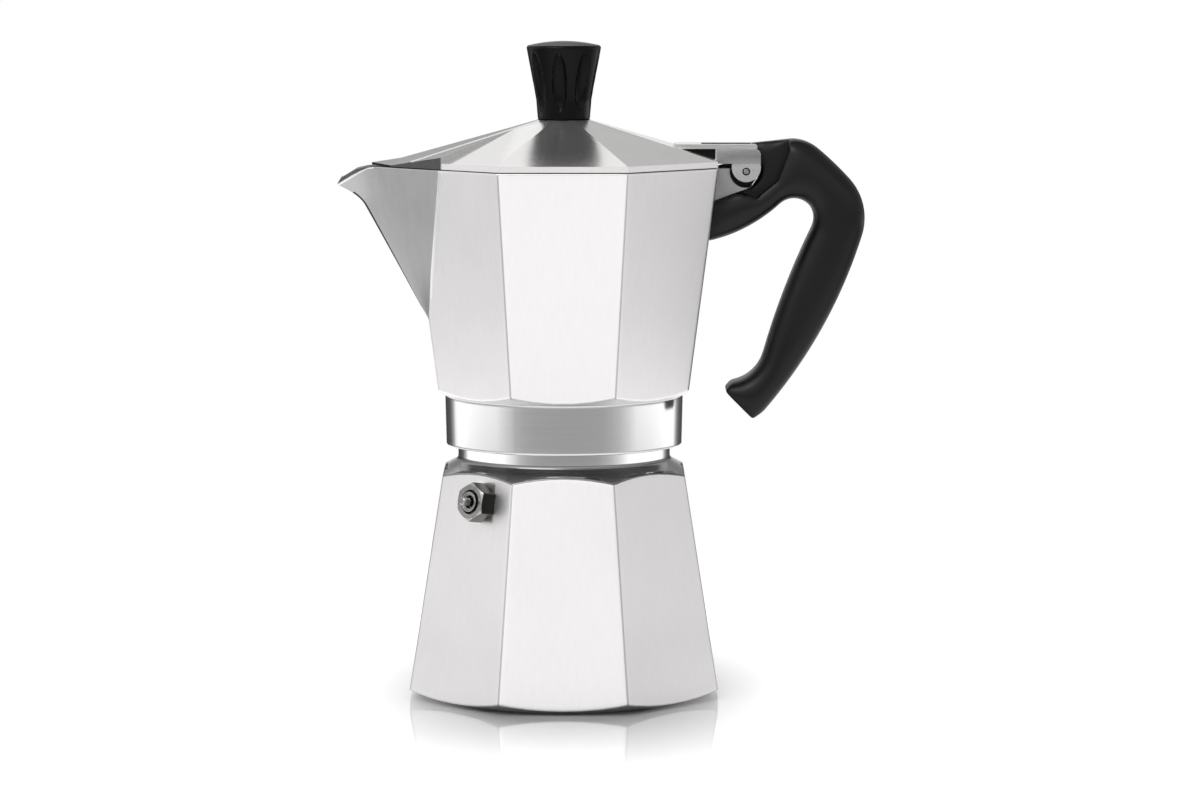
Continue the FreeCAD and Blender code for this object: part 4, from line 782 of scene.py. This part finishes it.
knobSizes = {
    "columns": 240, "sharp": 55, "hub": 0.3, "hole": 2.05, "holeTop": 205.1,
    "seat": 191.1, "foot": 8.6, "footInset": 0.4, "footRise": 0.3, "lowRows": 14, "lowMargin": 0.8,
    "waist": 9.15, "waistZ": 197.5, "highRows": 40, "highMargin": 0.2,
    "brim": 12.3, "brimZ": 214.7, "edge": 1.0, "edgeTurn": 80, "edgeRows": 9,
    "top": 217.0, "tip": 0.4, "domeRows": 16,
    "flutes": 8, "turn": -8.0, "fluteZ": 203.6, "fluteLength": 9.6, "fluteWidth": 2.5, "fluteDepth": 1.7,
    "flutedFrom": 5,  # no flute reaches the hole, whose radius is less
}


def makeKnob(s):
    # the radius runs straight from foot to waist to brim, less the flutes, each part of an ellipsoid; the top
    # is part of a sphere
    angles = circle(s["columns"])
    pitch = fullTurn / s["flutes"]
    offset = np.mod(angles - math.radians(s["turn"]) + pitch / 2, pitch) - pitch / 2
    stations = []

    def station(radius, z):
        reach = (offset * radius / s["fluteWidth"]) ** 2 + ((z - s["fluteZ"]) / s["fluteLength"]) ** 2
        flute = s["fluteDepth"] * np.sqrt(np.clip(1 - reach, 0, 1)) if radius > s["flutedFrom"] else 0
        stations.append(turnedStation(radius - flute, z, angles))

    def wall(lowRadius, lowZ, highRadius, highZ, z):
        station(lowRadius + (highRadius - lowRadius) * (z - lowZ) / (highZ - lowZ), z)

    station(s["hub"], s["holeTop"])
    station(s["hole"], s["holeTop"])
    station(s["hole"], s["seat"])
    station(s["foot"] - s["footInset"], s["seat"])
    station(s["foot"], s["seat"] + s["footRise"])
    for z in np.linspace(s["seat"] + s["lowMargin"], s["waistZ"] - s["lowMargin"], s["lowRows"]):
        wall(s["foot"], s["seat"], s["waist"], s["waistZ"], z)
    for z in np.linspace(s["waistZ"] - s["highMargin"], s["brimZ"] - s["highMargin"], s["highRows"]):
        wall(s["waist"], s["waistZ"], s["brim"], s["brimZ"], z)
    for turn in np.radians(np.linspace(0, s["edgeTurn"], s["edgeRows"])):
        station(s["brim"] - s["edge"] * (1 - math.cos(turn)), s["brimZ"] + s["edge"] * math.sin(turn))
    crown, rise = s["brim"] - s["edge"], s["top"] - s["brimZ"] - s["edge"]
    dome = (crown ** 2 + rise ** 2) / (2 * rise)
    for radius in np.linspace(crown, s["tip"], s["domeRows"]):
        station(radius, s["top"] - dome + math.sqrt(dome ** 2 - radius ** 2))
    piece = ringSurface("knobGrip", np.array(stations), [knobBlack])
    piece.data.set_sharp_from_angle(angle=math.radians(s["sharp"]))
    return piece


knob = makeKnob(knobSizes)
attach(knob, "cover")
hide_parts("knob")
print("knob made")


def faceMeasures(mesh):
    # centres in millimetres, and normals
    centre, normal = (np.empty(len(mesh.polygons) * 3) for _ in range(2))
    mesh.polygons.foreach_get("center", centre)
    mesh.polygons.foreach_get("normal", normal)
    return centre.reshape(-1, 3) * 1000, normal.reshape(-1, 3)


# points this close, in metres, are one, and faces this flat to each other, in degrees, are one
merge = {"distance": 2e-6, "angle": 0.3}


def mergedCopy(node, name, finishes, body):
    # a copy of a CAD piece whose shape is right, with its loose triangles joined into smooth faces
    mesh = nodes[node].data.copy()
    mesh.name = name
    dress(mesh, finishes)
    work = bmesh.new()
    work.from_mesh(mesh)
    bmesh.ops.remove_doubles(work, verts=work.verts, dist=merge["distance"])
    bmesh.ops.dissolve_limit(work, angle_limit=math.radians(merge["angle"]), verts=work.verts, edges=work.edges)
    work.to_mesh(mesh)
    work.free()
    paintFaces(mesh, np.zeros(len(mesh.polygons)))
    piece = addObject(name, mesh)
    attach(piece, body)
    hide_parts(node)
    return piece


# lid: finishes by where a face lies and how it faces

lidSizes = {
    "edge": 0.3, "edgeSteps": 3, "sharp": 10,  # edges sharper than this, in degrees, are rounded
    "tabFrom": 34, "ribHalf": 5.6, "tipEnd": -56.5, "eaveEnd": -42, "seatReach": 12,
    "rimLow": 175, "rimHigh": 179, "rimEnd": 51.5, "rimOut": 40,
    "sideways": 0.9, "level": 0.99, "upwards": 0.9, "notUp": 0.5, "upright": 0.3, "forwards": -0.1,
    "straight": 0.12, "kneeReach": 10.2, "kneeLow": 190.3,
}
lidFinishes = [lidMetal, shadeBlack, beakShade, castFlat, shadeGrey]
plainKind, shadeBlackKind, roofShadeKind, rimKind, shadeKind = range(5)


def lidPaint(s, centre, normal):
    # painted shade on the rib and slot under the hinge tab, under the beak and under the knob, and a greyer
    # painted shade on the beak's roof
    x, y, z = centre.T
    acrossX, acrossY, up = normal.T
    skin = (x > s["tabFrom"]) & (np.abs(acrossY) > s["sideways"]) & (np.abs(y) < s["ribHalf"])
    skin |= (x < s["tipEnd"]) & (up < s["notUp"])
    skin |= (up > s["level"]) & (np.hypot(x, y) < s["seatReach"])
    shadedRoof = (up > s["upwards"]) & (acrossX < s["forwards"]) & (np.abs(acrossY) < s["straight"])
    shade = (x < s["eaveEnd"]) & (up < s["notUp"])
    rim = (np.abs(up) < s["upright"]) & (z > s["rimLow"]) & (z < s["rimHigh"])
    rim &= (x < s["rimEnd"]) & (x * acrossX + y * acrossY > s["rimOut"])
    return np.select([skin, shadedRoof, shade, rim], [shadeBlackKind, roofShadeKind, shadeKind, rimKind], plainKind)


def finishLid(s):
    # paints the faces and rounds the edges between them
    mesh = lid.data
    paintFaces(mesh, lidPaint(s, *faceMeasures(mesh)))
    mesh.set_sharp_from_angle(angle=math.radians(s["sharp"]))
    bevel = lid.modifiers.new("edges", "BEVEL")
    bevel.width = s["edge"] / 1000
    bevel.segments = s["edgeSteps"]
    bevel.limit_method = "ANGLE"
    bevel.angle_limit = math.radians(s["sharp"])
    bevel.harden_normals = True
    bevel.use_clamp_overlap = True
    mesh = settle(lid)
    # the rounded edge of the knob's seat gets the seat's painted shade
    kinds = np.empty(len(mesh.polygons), np.int32)
    mesh.polygons.foreach_get("material_index", kinds)
    x, y, z = faceMeasures(mesh)[0].T
    knee = (np.hypot(x, y) < s["kneeReach"]) & (z > s["kneeLow"])
    mesh.polygons.foreach_set("material_index", np.where(knee, shadeBlackKind, kinds).astype(np.int32))


lid = mergedCopy("lid", "lidShell", lidFinishes, "cover")
finishLid(lidSizes)


# handle: the CAD piece with rounded, bellied sides; scoop outlines the hinge's room beside the web, in x and z

handleSizes = {
    "voxel": 0.6, "rounding": 10, "belly": 200, "factor": 0.5, "swell": 1.10,
    "web": 4.0, "scoop": ((48.0, 168.6), (63.8, 165.6), (70.4, 171.0), (74.2, 180.6), (74.2, 190.0)),
}
handle = mergedCopy("handle", "handleGrip", [gripBlack], "upper")


def roundHandle(s):
    # rounds the mould's edges, bellies the sides without changing the outline, then clears the hinge's room
    skin = handle.modifiers.new("evenSkin", "REMESH")
    skin.mode = "VOXEL"
    skin.voxel_size = s["voxel"] / 1000
    skin.use_smooth_shade = True
    for name, steps, sideways in (("rounding", s["rounding"], False), ("belly", s["belly"], True)):
        smooth = handle.modifiers.new(name, "SMOOTH")
        smooth.factor = s["factor"]
        smooth.iterations = steps
        smooth.use_x = smooth.use_z = not sideways
    mesh = settle(handle)
    points = np.empty(len(mesh.vertices) * 3)
    mesh.vertices.foreach_get("co", points)
    points = points.reshape(-1, 3) * 1000
    points[:, 1] *= s["swell"]
    x, y, z = points.T
    inside = x > s["scoop"][0][0]
    for first, second in zip(s["scoop"][:-1], s["scoop"][1:]):
        along = np.subtract(second, first)
        inside &= along[0] * (z - first[1]) - along[1] * (x - first[0]) > 0
    points[:, 1] = np.where(inside, np.clip(y, -s["web"], s["web"]), y)
    mesh.vertices.foreach_set("co", (points / 1000).ravel())
    mesh.update()


roundHandle(handleSizes)
print("lid and handle softened")

for node, finish in {
    "valve_plunger": nickel, "valve_seal": softRed,
    "funnel_basket": spunMetal, "funnel_stem": spunMetal, "funnel_sieve": spunMetal, "gasket": softWhite,
    "filter_plate": spunMetal, "coffee_column": greyCastAndSpoutShade, "knob_washer": steel,
    "knob_screw": steel, "handle_screw": steel,
}.items():
    slots = nodes[node].material_slots
    if not slots:
        nodes[node].data.materials.append(finish)
    for slot in slots:
        slot.material = finish
print("finishes on the remaining pieces")


# camera: metres, and radians below the level

cameraSizes = {"lens": 135.84, "sensor": 36, "farEnd": 200, "place": (0.01196, -1.5, 0.25684), "dip": 0.1057}


def makeCamera(s):
    data = bpy.data.cameras.new("camera")
    data.lens = s["lens"]
    data.sensor_width = s["sensor"]
    data.clip_end = s["farEnd"]
    camera = addObject("camera", data)
    camera.location = s["place"]
    camera.rotation_euler = (math.pi / 2 - s["dip"], 0, 0)
    scene.camera = camera


makeCamera(cameraSizes)


# floor: a white gloss board in metres, whose gloss fades out away from the pot, where its own white takes over

floorSizes = {
    "radius": 0.5, "points": 128, "rough": 0.05, "colour": "#b3b3b3",
    "gloss": 0.6, "glossFrom": 0.05, "glossTo": 0.19, "edgeFrom": 0.28, "edgeTo": 0.42,
    "oval": (1.7, 1.0, 1.0), "white": 0.8, "whiteFrom": 0.06, "whiteTo": 0.17,
}


def makeFloor(s):
    mesh = bpy.data.meshes.new("floor")
    rim = turnedStation(s["radius"], 0, circle(s["points"]))
    mesh.from_pydata(rim.tolist(), [], [list(range(s["points"]))])
    floor = addObject("floor", mesh)
    board, tree, shader = newMaterial("whiteGlossBoard", Roughness=s["rough"], Base_Color=linear(s["colour"]),
                                      Emission_Color=(1, 1, 1, 1))
    where = addNode(tree, "TexCoord").outputs["Object"]
    away = addNode(tree, "VectorMath", {0: where}, operation="LENGTH").outputs["Value"]
    gloss = addNode(tree, "MapRange", {"Value": away, "From Min": s["glossFrom"], "From Max": s["glossTo"],
                                       "To Min": s["gloss"], "To Max": 0.0})
    edge = addNode(tree, "MapRange", {"Value": away, "From Min": s["edgeFrom"], "From Max": s["edgeTo"],
                                      "To Min": 1.0, "To Max": 0.0}, interpolation_type="SMOOTHSTEP")
    oval = addNode(tree, "VectorMath", {0: where, 1: s["oval"]}, operation="MULTIPLY").outputs[0]
    ovalAway = addNode(tree, "VectorMath", {0: oval}, operation="LENGTH").outputs["Value"]
    white = addNode(tree, "MapRange", {"Value": ovalAway, "From Min": s["whiteFrom"], "From Max": s["whiteTo"],
                                       "To Min": 0.0, "To Max": s["white"]})
    path = addNode(tree, "LightPath").outputs
    seen = addNode(tree, "Math", {0: path["Is Camera Ray"], 1: path["Is Glossy Ray"]}, operation="MAXIMUM")
    seen = addNode(tree, "Math", {0: seen.outputs[0], 1: path["Is Transmission Ray"]}, operation="MAXIMUM")
    glow = addNode(tree, "Math", {0: seen.outputs[0], 1: white.outputs[0]}, operation="MULTIPLY")
    tree.links.new(gloss.outputs[0], shader.inputs["Specular IOR Level"])
    tree.links.new(edge.outputs[0], shader.inputs["Alpha"])
    tree.links.new(glow.outputs[0], shader.inputs["Emission Strength"])
    mesh.materials.append(board)


makeFloor(floorSizes)


# light tent: rings of brightness one over the other; a ring's stops run from the front, -1, to the back, 1,
# and those of the top dome from left to right; a ring's first two values are the heights of the view direction
# between which it takes over

lowRing = [(-1, 0.4), (-0.85, 0.43), (-0.5, 0.5), (-0.2, 0.5), (0.5, 0.5), (0.74, 0.4), (0.84, 0.1), (1, 0.05)]
tentSizes = {
    "below": [(-1, 1.55), (-0.6, 1.2), (-0.2, 0.42), (0.2, 0.37), (0.6, 0.7), (0.9, 1.0), (1, 1.05)],
    "lowRings": [
        (-0.27, -0.2, lowRing),
        (-0.165, -0.14, [(-1, 0.4), (-0.85, 0.44), (-0.6, 0.75), (-0.3, 1.85), (0.55, 1.88), (0.64, 1.6),
                         (0.74, 0.6), (0.84, 0.12), (1, 0.05)]),
        (-0.075, -0.05, lowRing),
        (0.06, 0.11, [(-1, 1.28), (-0.6, 1.16), (-0.25, 0.84), (0, 0.72), (0.5, 0.64), (0.8, 0.45), (1, 0.4)]),
    ],
    "band": (0.185, 0.215, [(-1, 1.28), (-0.6, 1.16), (-0.25, 0.8), (0, 0.68), (0.5, 0.62), (0.8, 0.42),
                            (1, 0.36)]),
    "topDome": (0.36, 0.42, [(-1, 0.9), (-0.2, 1.25), (-0.03, 1.2), (0.03, 1.25), (0.1, 0.66), (1, 0.6)]),
    "ceiling": (0.7, 0.8, [(-1, 0.9), (0, 0.6), (0.3, 0.15), (1, 0.1)]),
    "lean": -0.06,  # turns the rings a little, so that the bright part reaches further round on the right
    "backdrop": (1.12, 1.12, 1.12, 1), "backdropFrom": 0.145, "backdropTo": 0.175,
    "strength": 0.96, "rightDarker": -0.09, "horizon": 0.05,
}


def makeTent(s):
    world = bpy.data.worlds.new("lightTent")
    scene.world = world
    world.use_nodes = True
    tree = world.node_tree
    tree.nodes.clear()
    where = addNode(tree, "TexCoord").outputs["Generated"]
    x, y, z = addNode(tree, "SeparateXYZ", {0: where}).outputs
    backwards = addNode(tree, "Math", {0: x, 1: s["lean"], 2: y}, operation="MULTIPLY_ADD").outputs[0]

    def ringTone(stops, along=backwards):
        # brightness by how far a direction looks along
        share = addNode(tree, "MapRange", {"Value": along, "From Min": -1.0, "From Max": 1.0}).outputs[0]
        ramp = addNode(tree, "ValToRGB", {"Fac": share})
        elements = ramp.color_ramp.elements
        while len(elements) < len(stops):
            elements.new(0.5)
        for element, (place, value) in zip(elements, stops):
            element.position = (place + 1) / 2
            element.color = (value, value, value, 1)
        return ramp.outputs[0]

    def over(tone, ring, along=backwards):
        # the ring takes over from what is below it
        low, high, stops = ring
        share = addNode(tree, "MapRange", {"Value": z, "From Min": low, "From Max": high},
                        interpolation_type="SMOOTHSTEP").outputs[0]
        mix = addNode(tree, "Mix", {"Factor": share, 6: tone, 7: ringTone(stops, along)}, data_type="RGBA")
        return mix.outputs[2]

    tone = ringTone(s["below"])
    for ring in s["lowRings"]:
        tone = over(tone, ring)
    # white backdrop straight behind the pot
    aside = addNode(tree, "Math", {0: x}, operation="ABSOLUTE").outputs[0]
    narrow = addNode(tree, "MapRange", {"Value": aside, "From Min": s["backdropFrom"],
                                        "From Max": s["backdropTo"], "To Min": 1.0, "To Max": 0.0}).outputs[0]
    behind = addNode(tree, "Math", {0: y, 1: 0.0}, operation="GREATER_THAN").outputs[0]
    share = addNode(tree, "Math", {0: narrow, 1: behind}, operation="MULTIPLY").outputs[0]
    tone = addNode(tree, "Mix", {"Factor": share, 6: tone, 7: s["backdrop"]}, data_type="RGBA").outputs[2]
    tone = over(tone, s["band"])
    tone = over(tone, s["topDome"], x)
    tone = over(tone, s["ceiling"])
    # above the horizon the right side of the tent is a little darker than the left
    darker = addNode(tree, "MapRange", {"Value": z, "From Min": -s["horizon"], "From Max": s["horizon"],
                                        "To Min": 0.0, "To Max": s["rightDarker"]}).outputs[0]
    strength = addNode(tree, "Math", {0: x, 1: darker, 2: s["strength"]}, operation="MULTIPLY_ADD").outputs[0]
    sky = addNode(tree, "Background", {"Color": tone, "Strength": strength}).outputs[0]
    # the camera sees plain white from every side, and metal mirrors the tent
    path = addNode(tree, "LightPath").outputs
    seen = addNode(tree, "Math", {0: path["Is Camera Ray"], 1: path["Is Transmission Ray"]}, operation="MAXIMUM")
    plain = addNode(tree, "Background", {"Color": (1, 1, 1, 1), "Strength": 1.0}).outputs[0]
    shown = addNode(tree, "MixShader", {0: seen.outputs[0], 1: sky, 2: plain}).outputs[0]
    addNode(tree, "OutputWorld", {"Surface": shown})


makeTent(tentSizes)


# softbox: metres, watts, and degrees of tilt and turn

softboxSizes = {"width": 0.9, "depth": 0.6, "power": 6.0, "place": (-0.55, -0.75, 1.1), "tilt": 38, "turn": -36}


def makeSoftbox(s):
    data = bpy.data.lights.new("softbox", "AREA")
    data.shape = "RECTANGLE"
    data.size = s["width"]
    data.size_y = s["depth"]
    data.energy = s["power"]
    lamp = addObject("softbox", data)
    lamp.location = s["place"]
    lamp.rotation_euler = (math.radians(s["tilt"]), 0, math.radians(s["turn"]))


makeSoftbox(softboxSizes)
print("camera, floor and light set")
